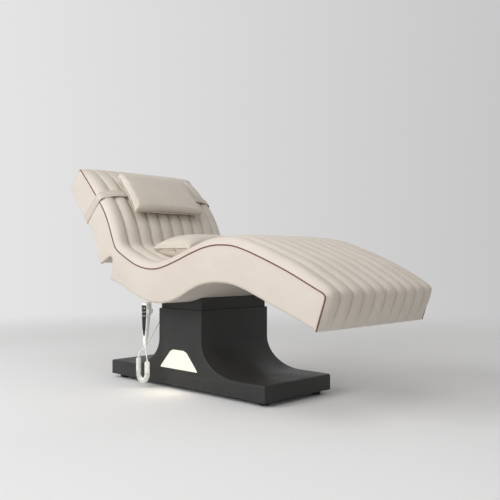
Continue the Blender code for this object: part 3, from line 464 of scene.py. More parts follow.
def seamAt(point):
    return runNear(point, seamRun, seamLine)


def seamPart(start, end, count):
    return np.stack(pointAt(np.linspace(seamAt(start), seamAt(end), count), seamRun, seamLine), axis=1)


def seatAt(x):
    return (x, np.interp(x, *seatTop.T))


def underAt(x):
    return (x, np.interp(x, *underLine.T))


def alongSeam(first, keys, last):
    # a value for every station, from keys at points of the seam
    keys = first + [(seamAt(point), value) for point, value in keys] + [(seamRun[-1], last)]
    return blurred(np.interp(seamRun, *np.array(keys).T)[:, None], 3)[:, 0]


seamCrown = alongSeam([(0.0, 0.0), (0.009, 0.0075), (0.024, 0.0125)], [
    (wave["footEnd"][3], 0.016), (wave["footEnd"][2], 0.018), (wave["seatLine"][-1], 0.026), ((0.85, 0.512), 0.033),
    ((0.78, 0.542), 0.039), ((-0.20, 0.588), 0.040), ((-0.296, 0.636), 0.027), ((-0.335, 0.710), 0.040),
    ((-0.480, 0.915), 0.039), ((-0.505, 0.941), 0.0385), ((-0.555, 0.991), 0.029), (wave["backLine"][-1], 0.0095),
    (wave["headEnd"][1], 0.007), (wave["headEnd"][2], 0.008)], 0.006)
seamRoll = alongSeam([(0.0, 0.006)], [
    (wave["footEnd"][3], 0.0125), (wave["footEnd"][2], 0.0165), ((0.85, 0.512), 0.0215), ((0.0, 0.550), 0.0195),
    ((-0.20, 0.588), 0.0165), ((-0.480, 0.915), 0.0160), ((-0.540, 0.976), 0.0105),
    (wave["backLine"][-1], 0.0045)], 0.0045)


channelValues = {"rollPower": 0.55, "rollCrown": 0.017, "fold": 0.0007, "foldReach": 0.16, "foldCrown": 0.02,
                 "atSeam": 0.99, "lift": 0.0005, "edgeRise": 2.2}


def channelHeight(across, station):
    # height over the seam at a share of the width: a broad swell with one roll for each sewn channel
    values = channelValues
    crown, depth = seamCrown[station], seamRoll[station]
    swell = max(0.0, 1 - abs(2 * across - 1) ** 4) ** 0.5
    channel, inChannel = divmod(across * wave["channels"], 1)
    arch = max(0.0, 4 * inChannel * (1 - inChannel)) ** values["rollPower"]
    roll = depth * arch * min(1, crown / values["rollCrown"])
    pucker = sin(station * 1.9 + channel * 2.3) * sin(station * 0.73 + channel * 1.1)
    near = exp(-((min(inChannel, 1 - inChannel) / values["foldReach"]) ** 2))
    fold = values["fold"] * pucker * near * (near < values["atSeam"]) * min(1, crown / values["foldCrown"])
    broad = max(0.0, crown + wave["crest"] - depth) * swell
    return values["lift"] + broad + (roll + fold) * min(1, values["edgeRise"] * swell)


mattressValues = {"inset": 0.0008, "floorInset": 0.016, "floorDrop": 0.012, "floorSteps": 10, "taper": 0.03}


def makeMattress():
    steps = [(k + (1 - cos(pi * i / wave["perChannel"])) / 2) / wave["channels"]
             for k in range(wave["channels"]) for i in range(wave["perChannel"])] + [1.0]
    edge, floorSteps, taper = half - mattressValues["inset"], mattressValues["floorSteps"], mattressValues["taper"]
    section = [("top", f) for f in steps] + [("floor", 1 - i / floorSteps) for i in range(floorSteps + 1)]

    def place(kind, share, j):
        if kind == "top":
            y, height = edge * (2 * share - 1), channelHeight(share, j)
        else:
            y = (edge - mattressValues["floorInset"]) * (2 * share - 1)
            height = -mattressValues["floorDrop"] * min(1, seamRun[j] / taper, (seamRun[-1] - seamRun[j]) / taper)
        return inSpace(seamLine[j] + seamOut[j] * height, y)

    return wrapGrid(section, [(j,) for j in range(len(seamLine))], place)


def bendAtCrease(piece):
    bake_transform(piece)


mattress = leatherPiece("channelled_mattress", makeMattress(), 60)
bendAtCrease(mattress)
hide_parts("seat_pad", "back_pad")
print("mattress made")

# the notch under the crease, rounded where seat and backrest part
lining = {"seatTurn": -103.2, "seatReach": 0.0475, "backTurn": -159.4, "backReach": 0.0605, "clear": 0.024,
          "sheet": 0.0016, "inner": 0.036}


def creaseBend():
    def away(turn):
        return np.array((cos(turn), sin(turn)))

    a, b = radians(lining["seatTurn"]), radians(lining["backTurn"])
    opening = sin((a - b) / 2)
    middle = lining["clear"] / (1 - opening)
    centre = hinge + middle * away((a + b) / 2)
    bend = [centre + middle * opening * away(t) for t in np.linspace(a + quarter, b + 1.5 * pi, 13)]
    ends = [hinge + reach * away(t) for t, reach in ((a, lining["seatReach"]), (b, lining["backReach"]))]
    return np.array(bend), np.array([ends[0]] + bend + [ends[1]])


notchBend, liningLine = creaseBend()

# side panels: columns run from the top seam to the lower edge and fan round the hinge
cornerTip, cornerReach = np.array(wave["panelCorner"]), 0.016
cornerEnds = [cornerTip + (end - cornerTip) * cornerReach / np.linalg.norm(end - cornerTip)
              for end in (hinge, rearLine[2])]
cornerLine = np.array([cornerEnds[0] * (1 - t) ** 2 + 2 * cornerTip * t * (1 - t) + cornerEnds[1] * t ** 2
                       for t in np.linspace(0, 1, 9)])
panelSpans = [
    # part of the top seam, part of the lower edge, columns
    (footFace[:-4], [footEdge, underAt(0.853)], 14),
    (np.concatenate([footFace[-5:-1], [seatTop[-1], seatAt(0.86)]]), [underAt(0.853), underAt(0.82)], 8),
    ([seatAt(x) for x in np.linspace(0.86, -0.16, 80)], [underAt(x) for x in np.linspace(0.82, -0.20, 80)], 76),
    (seamPart(seatAt(-0.16), seatAt(-0.262), 20),
     [underAt(x) for x in np.linspace(-0.20, wave["seatRear"][0], 20)], 16),
    (seamPart(seatAt(-0.262), backFront[0], 12), np.concatenate([[wave["seatRear"]], notchBend[:7]]), 14),
    (seamPart(backFront[0], inBack(0.10, 0), 16), np.concatenate([notchBend[6:], cornerLine[:5]]), 14),
    (seamPart(inBack(0.10, 0), inBack(0.44, 0), 60), np.concatenate([cornerLine[4:], rearLine[2:-3]]), 40),
    (np.concatenate([[inBack(s, 0) for s in np.linspace(0.44, backRun[-1], 8)], headFace[1:]]),
     np.concatenate([rearLine[-4:], [headEdge]]), 18),
]


def panelEdge(which):
    out = []
    for span in panelSpans:
        points = evenly(np.array(span[which], float), span[2] + 1)
        out.extend(points[1:] if out else points)
    return out


panelValues = {"rows": 16, "topRound": 0.003, "lowRound": 0.011, "puff": 0.0016, "set": 0.0006, "narrow": 0.05}


def makeSidePanel(side):
    values = panelValues
    rows, face = values["rows"], half - values["set"]
    profile = [("top", i / 3) for i in range(4)] + [("face", i / rows) for i in range(1, rows)]
    profile += [("low", i / 5) for i in range(6)] + [("inside", 1.0), ("inside", 0.5), ("inside", 0.0)]

    def place(kind, share, top, low):
        reach = max(np.linalg.norm(low - top), 1e-5)
        small = min(1.0, reach / values["narrow"])
        r, b = values["topRound"] * small, values["lowRound"] * small
        turn = share * pi / 2
        if kind == "top":
            down, y = r * (1 - cos(turn)), face - r * (1 - sin(turn))
        elif kind == "face":
            down, y = r + (reach - r - b) * share, face + values["puff"] * sin(pi * share) * small
        elif kind == "low":
            down, y = reach - b * (1 - sin(turn)), face - b * (1 - cos(turn))
        else:
            down, y = reach * (0.02 + 0.96 * share), half - wave["cheek"] + 0.0004
        return inSpace(top + (low - top) * down / reach, side * y)

    return wrapGrid(profile, list(zip(panelEdge(0), panelEdge(1))), place)


for side, name in bothSides:
    panel = leatherPiece(f"side_panel_{name}", makeSidePanel(side), 50)
    bendAtCrease(panel)
    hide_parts(f"seat_cheek_{name}", f"back_cheek_{name}")
print("side panels made")

# piping along the top seams, down the foot's edges and tucked over the head
pipingValues = {"radius": 0.0028, "stand": 0.0006, "tuck": 0.006, "tuckRun": 0.03, "headLift": 0.002, "inset": 0.0002}


def pipingPath(side):
    out = []
    for at, away, run in zip(seamLine, seamOut, seamRun):
        p = at + away * pipingValues["stand"]
        late = (run - seamAt(wave["headEnd"][0])) / pipingValues["tuckRun"]
        y = half - pipingValues["inset"] - pipingValues["tuck"] * min(1, max(0, late))
        if late > 0:
            p = p + away * pipingValues["headLift"] * min(1, late)
        out.append(inSpace(p, side * y))
    return out


for side, name in bothSides:
    piping = leatherPiece(f"piping_{name}", tubeAlong(pipingPath(side), pipingValues["radius"]), 80, "maroonPiping")
    bendAtCrease(piping)
print("piping made")

# leather boards: the seat's underside and the backrest's rear
boardValues = {"sheet": 0.009, "edge": 0.0025, "columns": 18}


def makeBoard(path, inward, low, high, sheet=boardValues["sheet"]):
    columns = boardValues["columns"]
    face = [k / columns for k in range(columns + 1)]
    normal = -inward * turned(unitRows(np.gradient(path, axis=0)))

    def place(kind, share, at, into):
        lip = min(boardValues["edge"], sheet * 0.4) * (share in (0, 1))
        return inSpace(at + into * (lip if kind == "out" else sheet), low + (high - low) * share)

    profile = [("out", f) for f in face] + [("in", f) for f in face[::-1]]
    return wrapGrid(profile, list(zip(path, normal)), place)


boardHalf = half - wave["cheek"] - 0.0003
underPath = evenly(np.array([underAt(x) for x in np.linspace(-0.3385, 0.887, 140)]), 110)
underCover = leatherPiece("seat_under_cover", makeBoard(underPath, 1, -boardHalf, boardHalf), 35)
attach(underCover, "seat")
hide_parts("seat_underboard")
rearStart, rearEnd = np.array(wave["rearCorner"]) + (0.0012, 0.013), headEdge + (0.012, -0.012)
rearPath = evenly(smoothLine([rearStart] + list(rearLine[1::3]) + [rearEnd]), 60)
rearCover = leatherPiece("back_rear_cover", makeBoard(rearPath, -1, -boardHalf, boardHalf), 35)
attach(rearCover, "backrest")
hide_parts("back_rearboard")
print("boards made")

# lining: soft leather that carries the two boards round the crease, left open at the middle for the drive
for side, name in bothSides:
    low, high = sorted((side * lining["inner"], side * (boardHalf - 0.0003)))
    fold = leatherPiece(f"crease_lining_{name}", makeBoard(evenly(liningLine, 24), 1, low, high, lining["sheet"]), 50)
    bendAtCrease(fold)
print("crease lined")

# pedestal: one bevelled shell with a lit window in each side
pedestal = {"length": 1.052, "width": 0.422, "underside": 0.020, "plinthTop": 0.088, "columnLength": 0.294,
            "top": 0.365, "flareX": 0.210, "flareZ": 0.140, "sheet": 0.004, "edgeRound": 0.0030, "windowBottom": 0.254,
            "windowTop": 0.106, "windowX": -0.009, "windowZ": (0.094, 0.181), "inlet": (0.031, 0.025), "corner": 0.010,
            "windowSet": 0.0009, "windowBack": 0.0058}
baseX, baseY, columnX = pedestal["length"] / 2, pedestal["width"] / 2, pedestal["columnLength"] / 2
plinthMid = (pedestal["underside"] + pedestal["plinthTop"]) / 2


def pedestalOutline():
    top, r = pedestal["plinthTop"], pedestal["corner"]
    flare = [(columnX + pedestal["flareX"] * (1 - cos(a)), top + pedestal["flareZ"] * (1 - sin(a)))
             for a in np.linspace(0, quarter, 25)]
    corner = [(baseX - r + r * sin(a), top - r + r * cos(a)) for a in np.linspace(0, quarter, 6)]
    right = [(columnX, pedestal["top"])] + flare + corner + [(baseX, pedestal["underside"])]
    return right + [(-x, z) for x, z in right[::-1]]


def windowOutline(grow):
    low, high = pedestal["windowZ"]
    b, t = pedestal["windowBottom"] / 2 + grow, pedestal["windowTop"] / 2 + grow
    shoulder = smoothLine([(b, low - grow), (b - 0.004, low + 0.010), (t + 0.018, high - 0.022 + grow),
                           (t + 0.004, high - 0.008 + grow), (t - 0.016, high + grow)], 5)
    middle = pedestal["windowX"]
    return [(middle + x, z) for x, z in shoulder] + [(middle - x, z) for x, z in shoulder[::-1]]


def makePedestal():
    bm = prismMesh(pedestalOutline(), -baseY, baseY)
    level = [(f, f.calc_center_median().z) for f in bm.faces if abs(f.normal.z) > 0.99]
    ends = [f for f, z in level if z > pedestal["top"] - 0.001 or z < pedestal["underside"] + 0.001]
    bmesh.ops.delete(bm, geom=ends, context="FACES")
    rims = [e for e in bm.edges if not e.is_boundary and abs(e.verts[0].co.y - e.verts[1].co.y) < 1e-6]
    roundEdges(bm, rims, pedestal["edgeRound"], 3)
    fixNormals(bm)
    bmesh.ops.solidify(bm, geom=bm.faces, thickness=pedestal["sheet"] - 0.0004)
    shell = makePiece("pedestal_shell", bm, "blackCover", 30)
    cutters = [loosePiece("cutter", prismMesh(windowOutline(0.0003), side * (baseY + 0.01), side * (baseY - 0.02)))
               for side in (-1, 1)]
    bm = bmesh.new()
    addBox(bm, (0.05, pedestal["inlet"][0] + 0.0006, pedestal["inlet"][1] + 0.0006), (shiftX - baseX, 0, plinthMid))
    cutFrom(shell, cutters + [loosePiece("cutter", bm)])
    return shell


shell = makePedestal()
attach(shell, "base")
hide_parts("side_cover_near", "side_cover_far", "plinth_cover_head", "plinth_cover_foot")


def makeWindow(side):
    face = baseY - pedestal["windowSet"]
    bm = prismMesh(windowOutline(-0.0004), side * face, side * (baseY - pedestal["windowBack"]))
    roundEdges(bm, [e for e in bm.edges if all(abs(abs(v.co.y) - face) < 1e-5 for v in e.verts)], 0.0008, 2)
    return bm


for side, name in bothSides:
    window = makePiece(f"lit_window_{name}", makeWindow(side), "litWindow", 30)
    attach(window, "base")
    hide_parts(f"led_window_{name}")
print("pedestal made")

# lifting skirt: one sleeve whose upper edge follows the seat's underside
skirt = {"play": 0.003, "sheet": 0.003, "low": 0.105, "corner": 0.006, "rest": 0.0009, "step": 0.02}


def makeSkirt():
    x, y = (size - pedestal["sheet"] - skirt["play"] for size in (columnX, baseY))
    r, sheet = skirt["corner"], skirt["sheet"]
    loop = []
    for cx, cy, start in ((x - r, y - r, 0), (r - x, y - r, 90), (r - x, r - y, 180), (x - r, r - y, 270)):
        turns = [radians(start + a) for a in (0, 22.5, 45, 67.5, 90)]
        loop += [(cx + r * cos(turn), cy + r * sin(turn)) for turn in turns]
    dense = []
    for (ax, ay), (bx, by) in zip(loop, loop[1:] + loop[:1]):
        count = max(1, round(hypot(bx - ax, by - ay) / skirt["step"]))
        dense += [(ax + (bx - ax) * k / count, ay + (by - ay) * k / count) for k in range(count)]
    dense.append(dense[0])
    shrink = 1 - sheet / x

    def place(inner, high, px, py):
        if inner:
            px, py = px * shrink, py - copysign(sheet, py) * (abs(py) / y)
        return inSpace((px, underAt(px)[1] - skirt["rest"] if high else skirt["low"]), py)

    return wrapGrid([(0, 0), (0, 1), (1, 1), (1, 0)], dense, place)


skirtSleeve = makePiece("lift_skirt", makeSkirt(), "blackCover", 30)
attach(skirtSleeve, "seat")
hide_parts("skirt_near", "skirt_far", "skirt_head", "skirt_foot")
print("skirt made")

# pillows
strapValues = {"at": 0.287, "width": 0.041, "sheet": 0.0025, "corner": 0.016, "seam": 0.006, "stitches": 400,
               "stitch": (0.0019, 0.00042, 0.00036), "sideClear": 0.0018, "rearClear": 0.0036, "frontClear": 0.0010,
               "dip": 0.0165, "dipFrom": 0.255, "dipRun": 0.075, "dipPower": 1.7, "topHalf": 0.330}
slant = inBack(0.42, 0) - inBack(0.28, 0)
slant /= np.linalg.norm(slant)
front = np.array([slant[1], -slant[0]])
strapMid = inBack(strapValues["at"], 0)
pillowRest = wave["crown"] + wave["crest"] + 0.0016 + strapValues["sheet"]
headPillow = {"size": (0.258, 0.412), "down": 0.018, "aside": -0.016, "flare": (-0.006, 0.013), "pull": 0.012,
              "voxel": 0.005, "rim": 0.015, "top": 0.014, "bottom": 0.004, "square": 3.2, "seam": 0.0020,
              "swell": 0.006, "pressure": 3.0}
lumbarPillow = {"size": (0.268, 0.412), "at": (-0.073, 0.641), "flare": (0, 0), "pull": 0.08,
                "voxel": 0.0042, "rim": 0.0035, "top": 0.060, "bottom": 0.046, "square": 7.0, "seam": 0.0018,
                "swell": 0.006, "pressure": 3.0, "seamX": 0.023, "seamDrop": 0.036}
cushion = {"across": 28, "along": 40, "upperSquare": 3.2, "ends": 2.6, "power": 0.55, "rimShare": 0.985,
           "corner": 0.020, "rimPoints": 160, "frames": 18, "stiffness": 18}
crestLine = np.array([at + away * (crown + wave["crest"]) for at, away, crown in zip(seamLine, seamOut, seamCrown)
                      if -0.30 < at[0] < 0.5 and at[1] < 0.66][::-1])


def slip(values, u, v):
    # how far the near edge is let out, from its upper to its lower corner
    upper, lower = values["flare"]
    return min(0.0, v) * (upper * (1 + u) + lower * (1 - u)) / 2


def cushionMesh(values, centre, ex, ey, ez, rest):
    centre, ex, ey, ez = (np.array(v, float) for v in (centre, ex, ey, ez))
    halfX, halfY = values["size"][0] / 2, values["size"][1] / 2
    across, rows = ([sin(t * pi / 2) for t in np.linspace(-1, 1, cushion[way] + 1)] for way in ("across", "along"))

    def place(u, face, v):
        square = cushion["upperSquare"] if face > 0 else values["square"]
        swell = max(0.0, 1 - abs(v) ** square) ** cushion["power"]
        lift = max(0.0, 1 - abs(u) ** cushion["ends"]) ** cushion["power"]
        height = values["rim"] + (values["top"] if face > 0 else values["bottom"]) * swell * lift
        alongX = u * halfX * (1 - values["pull"] * abs(u) ** 3 * (1 - v * v))
        alongY = v * halfY * (1 - values["pull"] * abs(v) ** 3 * (1 - u * u)) + slip(values, u, v)
        p = centre + ex * alongX + ey * alongY + ez * face * height
        return rest(p) if face < 0 else p

    ring = [(u, 1) for u in across] + [(u, -1) for u in across[::-1]]
    return wrapGrid(ring, [(v,) for v in rows], place)


def swellCushion(piece, values, rest):
    # cloth under pressure, with each point held to a short move
    work = piece.copy()
    work.data = piece.data.copy()
    scene.collection.objects.link(work)
    voxel = work.modifiers.new("voxel", "REMESH")
    voxel.mode, voxel.voxel_size = "VOXEL", values["voxel"]
    mesh = bakeModifiers(work)
    start = np.array([v.co for v in mesh.vertices])
    cloth = work.modifiers.new("cloth", "CLOTH").settings
    cloth.use_pressure = True
    cloth.uniform_pressure_force = values["pressure"]
    cloth.effector_weights.gravity = 0
    cloth.quality = 6
    cloth.tension_stiffness = cloth.compression_stiffness = cushion["stiffness"]
    for number in range(1, cushion["frames"] + 1):
        scene.frame_set(number)
    shown = work.evaluated_get(bpy.context.evaluated_depsgraph_get())
    move = np.array([v.co for v in shown.data.vertices]) - start
    scene.frame_set(1)
    work.modifiers.clear()
    move *= np.minimum(1, values["swell"] / np.maximum(np.linalg.norm(move, axis=1), 1e-9))[:, None]
    for vert, p in zip(mesh.vertices, start + move):
        vert.co = rest(p)
    old = piece.data
    mesh.materials.clear()
    mesh.materials.append(old.materials[0])
    mesh.shade_smooth()
    piece.data = mesh
    bpy.data.objects.remove(work)
    bpy.data.meshes.remove(old)
    fine = piece.modifiers.new("fine", "SUBSURF")
    fine.levels = fine.render_levels = 1


def restOnStrap(p):
    out = (p[0] - shiftX - strapMid[0]) * front[0] + (p[2] - strapMid[1]) * front[1]
    if out < pillowRest:
        p = p + np.array([front[0], 0, front[1]]) * (pillowRest - out)
    return p


def restOnSeat(p):
    return np.array([p[0], p[1], max(p[2], float(np.interp(p[0] - shiftX, *crestLine.T)) + 0.0008)])


def rimPath(values, centre, ex, ey):
    centre, ex, ey = (np.array(v, float) for v in (centre, ex, ey))
    corner = cushion["corner"]
    reachX, reachY = (size / 2 * cushion["rimShare"] - corner for size in values["size"])
    points = []
    for sx, sy, start in ((1, 1, 0), (-1, 1, 90), (-1, -1, 180), (1, -1, 270)):
        for a in np.linspace(start, start + 90, 7):
            points.append(centre + ex * (sx * reachX + corner * cos(radians(a)))
                          + ey * (sy * reachY + corner * sin(radians(a)) + slip(values, sx, sy)))
    points.append(points[0])
    return evenly(np.array(points), cushion["rimPoints"])


pillowMid = strapMid + front * (pillowRest + headPillow["rim"] + 0.0035) - slant * headPillow["down"]
headFrame = (inSpace(pillowMid, headPillow["aside"]), (slant[0], 0, slant[1]), (0, 1, 0), (front[0], 0, front[1]))
lumbarFrame = (inSpace(lumbarPillow["at"], 0), (1, 0, 0), (0, 1, 0), (0, 0, 1))
head = leatherPiece("head_pillow_cover", cushionMesh(headPillow, *headFrame, restOnStrap), 70)
lumbar = leatherPiece("lumbar_pillow_cover", cushionMesh(lumbarPillow, *lumbarFrame, restOnSeat), 70)
swellCushion(head, headPillow, restOnStrap)
swellCushion(lumbar, lumbarPillow, restOnSeat)
print("pillows swelled")
for piece, node, body in ((head, "head_pillow", "headrest"), (lumbar, "lumbar_pillow", "lumbar")):
    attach(piece, body)
    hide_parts(node)


def addWelt(name, piece, spots, radius, body, closed=True):
    # a welt laid on the finished cushion, along the points nearest to the spots; its darker tone is painted shade along
    # the seam line
    tree = BVHTree.FromObject(piece, bpy.context.evaluated_depsgraph_get())
    path = [tuple(tree.find_nearest(spot)[0]) for spot in spots]
    if closed:
        count = len(path) - 1
        path = list(blurred(np.array(path[:-1] * 3), 2)[count:2 * count])
        path.append(path[0])
    else:
        path = blurred(np.array(path), 1)
    welt = leatherPiece(name, tubeAlong(path, radius, closed=closed), 80, "weltWithPaintedShade")
    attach(welt, body)


def outsideRim(values, axes):
    centre = Vector(axes[0])
    return [Vector(p) + (Vector(p) - centre).normalized() * 0.01 for p in rimPath(values, *axes[:3])]


def nearSeamSpots(values, place):
    # the short upright seam in the near face of the lower half
    x, y = place[0] + values["seamX"], place[1] - values["size"][1] / 2 - 0.02
    return [Vector((x, y, place[2] - drop)) for drop in np.linspace(0.001, values["seamDrop"], 14)]


bpy.context.view_layer.update()
addWelt("lumbar_pillow_seam", lumbar, nearSeamSpots(lumbarPillow, lumbarFrame[0]), lumbarPillow["seam"] * 0.9,
        "lumbar", closed=False)
addWelt("head_pillow_welt", head, outsideRim(headPillow, headFrame), headPillow["seam"], "headrest")
addWelt("lumbar_pillow_welt", lumbar, outsideRim(lumbarPillow, lumbarFrame), lumbarPillow["seam"], "lumbar")
print("pillows made")


# strap round the backrest, behind the pillow
def strapLoop():
    values = strapValues
    side, low, r = half + values["sideClear"], -backThick(values["at"]) - values["rearClear"], values["corner"]
    high = wave["crown"] + wave["crest"] + values["frontClear"]
    top = [(y, high - values["dip"] * max(0.0, (abs(y) - values["dipFrom"]) / values["dipRun"]) ** values["dipPower"])
           for y in np.linspace(values["topHalf"], -values["topHalf"], 40)]
    keys = [(side, low + r), (side, 0.0), (side, 0.010), (half - 0.004, 0.0240)] + top
    keys += [(0.004 - half, 0.0240), (-side, 0.010), (-side, 0.0), (-side, low + r)]
    corner = [(r * (1 - cos(a)), low + r * (1 - sin(a))) for a in np.linspace(0.3, quarter, 4)]
    keys += [(-side + y, z) for y, z in corner] + [(side - y, z) for y, z in corner[::-1]]
    return evenly(np.array(keys + [keys[0]]), 161)


def makeStrap():
    loop = strapLoop()
    slope = np.gradient(loop, axis=0)
    slope[0] = slope[-1] = loop[1] - loop[-2]
    out = turned(unitRows(slope))
    if out[np.argmax(loop[:, 0])][0] < 0:
        out = -out
    reach, sheet, seam = strapValues["width"] / 2, strapValues["sheet"], strapValues["seam"]
    edge = [(reach, 0.0), (reach, sheet * 0.7), (reach - 0.0012, sheet), (reach - seam + 0.001, sheet),
            (reach - seam, sheet - 0.0005), (reach - seam - 0.001, sheet)]
    band = [(-reach, 0.0), (0, 0.0)] + edge + [(0, sheet)] + [(-wide, thick) for wide, thick in edge[:0:-1]]
    spans = list(zip(loop, out))[:-1]

    def place(wide, thick, at, away):
        y, n = at + away * thick
        return inSpace(strapMid + front * n + slant * wide, y)

    return wrapGrid(band, spans + spans[:1], place)


strap = leatherPiece("pillow_strap_band", makeStrap(), 45, "strapLeather")
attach(strap, "headrest")
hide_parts("pillow_strap")


def makeStitches():
    loop = evenly(strapLoop(), strapValues["stitches"] + 1)
    over = Vector((slant[0], 0, slant[1]))
    long, wide, thick = strapValues["stitch"]
    bm = bmesh.new()
    for a, b in zip(loop, loop[1:]):
        y, n = (b - a) / np.linalg.norm(b - a)
        ahead = Vector((front[0] * n, y, front[1] * n))
        out = over.cross(ahead)
        if Vector((front[0] * (a[1] + 0.05), a[0], front[1] * (a[1] + 0.05))).dot(out) < 0:
            out = -out
        middle = Vector(inSpace(strapMid + front * (a[1] + b[1]) / 2, (a[0] + b[0]) / 2))
        shape = Matrix((ahead * long, over * wide, out * thick)).transposed().to_4x4()
        for edge in (-1, 1):
            spot = middle + out * (strapValues["sheet"] - 0.0001)
            spot += over * edge * (strapValues["width"] / 2 - strapValues["seam"])
            bmesh.ops.create_icosphere(bm, subdivisions=1, radius=1, matrix=Matrix.Translation(spot) @ shape)
    fixNormals(bm)
    return bm


stitches = leatherPiece("strap_stitching", makeStitches(), 60, "seamThread")
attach(stitches, "headrest")
print("strap made")

# curly cord from the handset to the control box
cordValues = {"wire": 0.0042, "curl": 0.0102, "pitch": 0.0052, "turnPitch": 0.0078, "ramp": 0.010, "perCurl": 16,
              "handset": (-0.160, -0.280, 0.195), "low": 0.0335, "turn": 0.032, "caseAt": (-0.210, -0.102, 0.404),
              "aside": 0.013, "drop": 0.066, "step": 0.018, "leftTop": 0.053, "leftX": -0.211}


def cordPath():
    values = cordValues
    hx, hy, low = values["handset"]
    caseX, caseY, caseLow = values["caseAt"]
    legX, legZ, r = hx + values["aside"], low - values["drop"], values["turn"]
    turnZ, turnX, leftZ = values["low"] + r, legX - r, low - values["leftTop"]
    leftX = turnX - r
    legs = [(hx, hy, low - 0.0005), (hx, hy, low - 0.014), (hx + 0.003, hy, low - 0.030), (hx + 0.009, hy, low - 0.048),
            (legX, hy, legZ)]
    count = max(2, round((legZ - turnZ) / values["step"]))
    turn = [(turnX + r * cos(a), hy, turnZ - r * sin(a)) for a in np.linspace(0, pi, 7)]
    down = [(legX, hy, z) for z in np.linspace(legZ, turnZ, count + 1)[1:-1]]
    count = max(2, round((leftZ - turnZ) / values["step"]))
    rise = [(leftX, hy, z) for z in np.linspace(turnZ, leftZ, count + 1)[1:]]
    away = [(x, hy + share * (caseY - hy), z) for x, share, z in (
        (leftX + 0.002, 0.02, low - 0.035), (leftX + 0.010, 0.19, low - 0.005), (leftX + 0.014, 0.49, low + 0.067),
        (leftX + 0.006, 0.79, caseLow - 0.069), (caseX + 0.005, 0.97, caseLow - 0.026),
        (caseX, 1, caseLow - 0.010), (caseX, 1, caseLow - 0.0005))]
    line = smoothLine(legs + down + turn + rise + away, 24)
    run = runOf(line)
    start, stop, bendStart, bendEnd = (runNear(p, run, line) for p in (legs[4], rise[-1], turn[0], turn[-1]))
    fine = np.linspace(start, stop, 2000)
    apart = np.maximum(0, np.maximum(bendStart - fine, fine - bendEnd))
    apart = np.minimum(apart, np.minimum(fine - start, stop - fine)) / values["ramp"]
    pitch = values["turnPitch"] + (values["pitch"] - values["turnPitch"]) * np.minimum(1, apart)
    turns = np.concatenate([[0], np.cumsum(np.diff(fine) * 2 / (pitch[1:] + pitch[:-1]))])
    curls = round(turns[-1])
    turns *= curls / turns[-1]
    spots = np.concatenate([np.linspace(0, start, 12, endpoint=False),
                            np.interp(np.linspace(0, curls, curls * values["perCurl"], endpoint=False), turns, fine),
                            np.linspace(stop, run[-1], 24)])
    out, side = [], Vector((1, 0, 0))
    for s in spots:
        at, ahead, behind = (Vector(pointAt(s + ds, run, line)) for ds in (0, 1e-4, -1e-4))
        along = (ahead - behind).normalized()
        side = (side - along * side.dot(along)).normalized()
        grow = float(min(1.0, max(0.0, min(s - start, stop - s) / values["ramp"])))
        angle = 2 * pi * float(np.interp(s, fine, turns))
        p = at + values["curl"] * grow * (side * cos(angle) + along.cross(side) * sin(angle))
        out.append((p[0] + shiftX, p[1], p[2]))
    return np.array(out)


cordLine = cordPath()
cordTube = tubeAlong(cordLine, cordValues["wire"] / 2, sides=10)
cord = makePiece("handset_lead", cordTube, "whitePlastic", 80)
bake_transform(cord)
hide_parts("handset_cord")
print("cord made, length", round(float(runOf(cordLine)[-1]), 3))

# handset shell, key marks, cord boots and the pins of the mains socket
handset = {"at": (-0.160, -0.280), "z": (0.195, 0.392), "front": 0.008, "rear": (0.0065, 0.0200), "round": 0.0028,
           "half": [(0.0068, 0.0), (0.0082, 0.014), (0.0112, 0.045), (0.0150, 0.085), (0.0180, 0.130), (0.0195, 0.185),
                    (0.0186, 0.192), (0.0150, 0.197)],
           "panel": [(0.0, 0.040), (0.0066, 0.051), (0.0124, 0.082), (0.0160, 0.130), (0.0179, 0.185)],
           "rows": (0.026, 0.043, 0.060), "spread": 0.0072, "key": (0.0098, 0.0090), "keyTop": 0.0014, "mark": 0.00012}
handX, handY = handset["at"]
handLow, handHigh = handset["z"]
handFront = handY - handset["front"]
keySpots = [(handX + turn * handset["spread"], handHigh - row) for row in handset["rows"] for turn in (-1, 1)]


def mirrored(points):
    right = [(handX + x, handLow + z) for x, z in points]
    return right + [(handX - x, handLow + z) for x, z in reversed(points) if x > 0]


def frontCutter(outline, depth):
    return loosePiece("cutter", prismMesh(outline, handFront - 0.01, handFront + depth))


def keyWells(grow):
    halfX, halfZ = (side / 2 + grow for side in handset["key"])
    corners = ((-halfX, -halfZ), (halfX, -halfZ), (halfX, halfZ), (-halfX, halfZ))
    return [frontCutter([(x + dx, z + dz) for dx, dz in corners], 0.0050) for x, z in keySpots]


def makeHandset():
    bm = prismMesh(mirrored([tuple(p) for p in smoothLine(handset["half"], 4)]), handFront, handY + 0.01)
    low, high = handset["rear"]
    for vert in bm.verts:
        if vert.co.y > handY:
            vert.co.y = handY + low + (high - low) * ((vert.co.z - handLow) / (handHigh - handLow))
    rims = [e for e in bm.edges if (e.verts[0].co.y > handY) == (e.verts[1].co.y > handY)]
    roundEdges(bm, rims, handset["round"], 4)
    shell = makePiece("handset_shell", bm, "whitePlastic", 35)
    cutFrom(shell, [frontCutter(mirrored(handset["panel"]), 0.0015)] + keyWells(0.0008))
    return shell


def makeKeypad():
    inside = [(x * 0.975, z + (0.0004 if z < 0.1 else -0.0004)) for x, z in handset["panel"]]
    bm = prismMesh(mirrored(inside), handFront - 0.0002, handFront + 0.0012)
    sheet = makePiece("handset_panel", bm, "blackPanel", 30)
    cutFrom(sheet, keyWells(0.0005))
    return sheet


for shell, node in ((makeHandset(), "handset_body"), (makeKeypad(), "handset_keypad")):
    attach(shell, "handset")
    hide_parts(node)

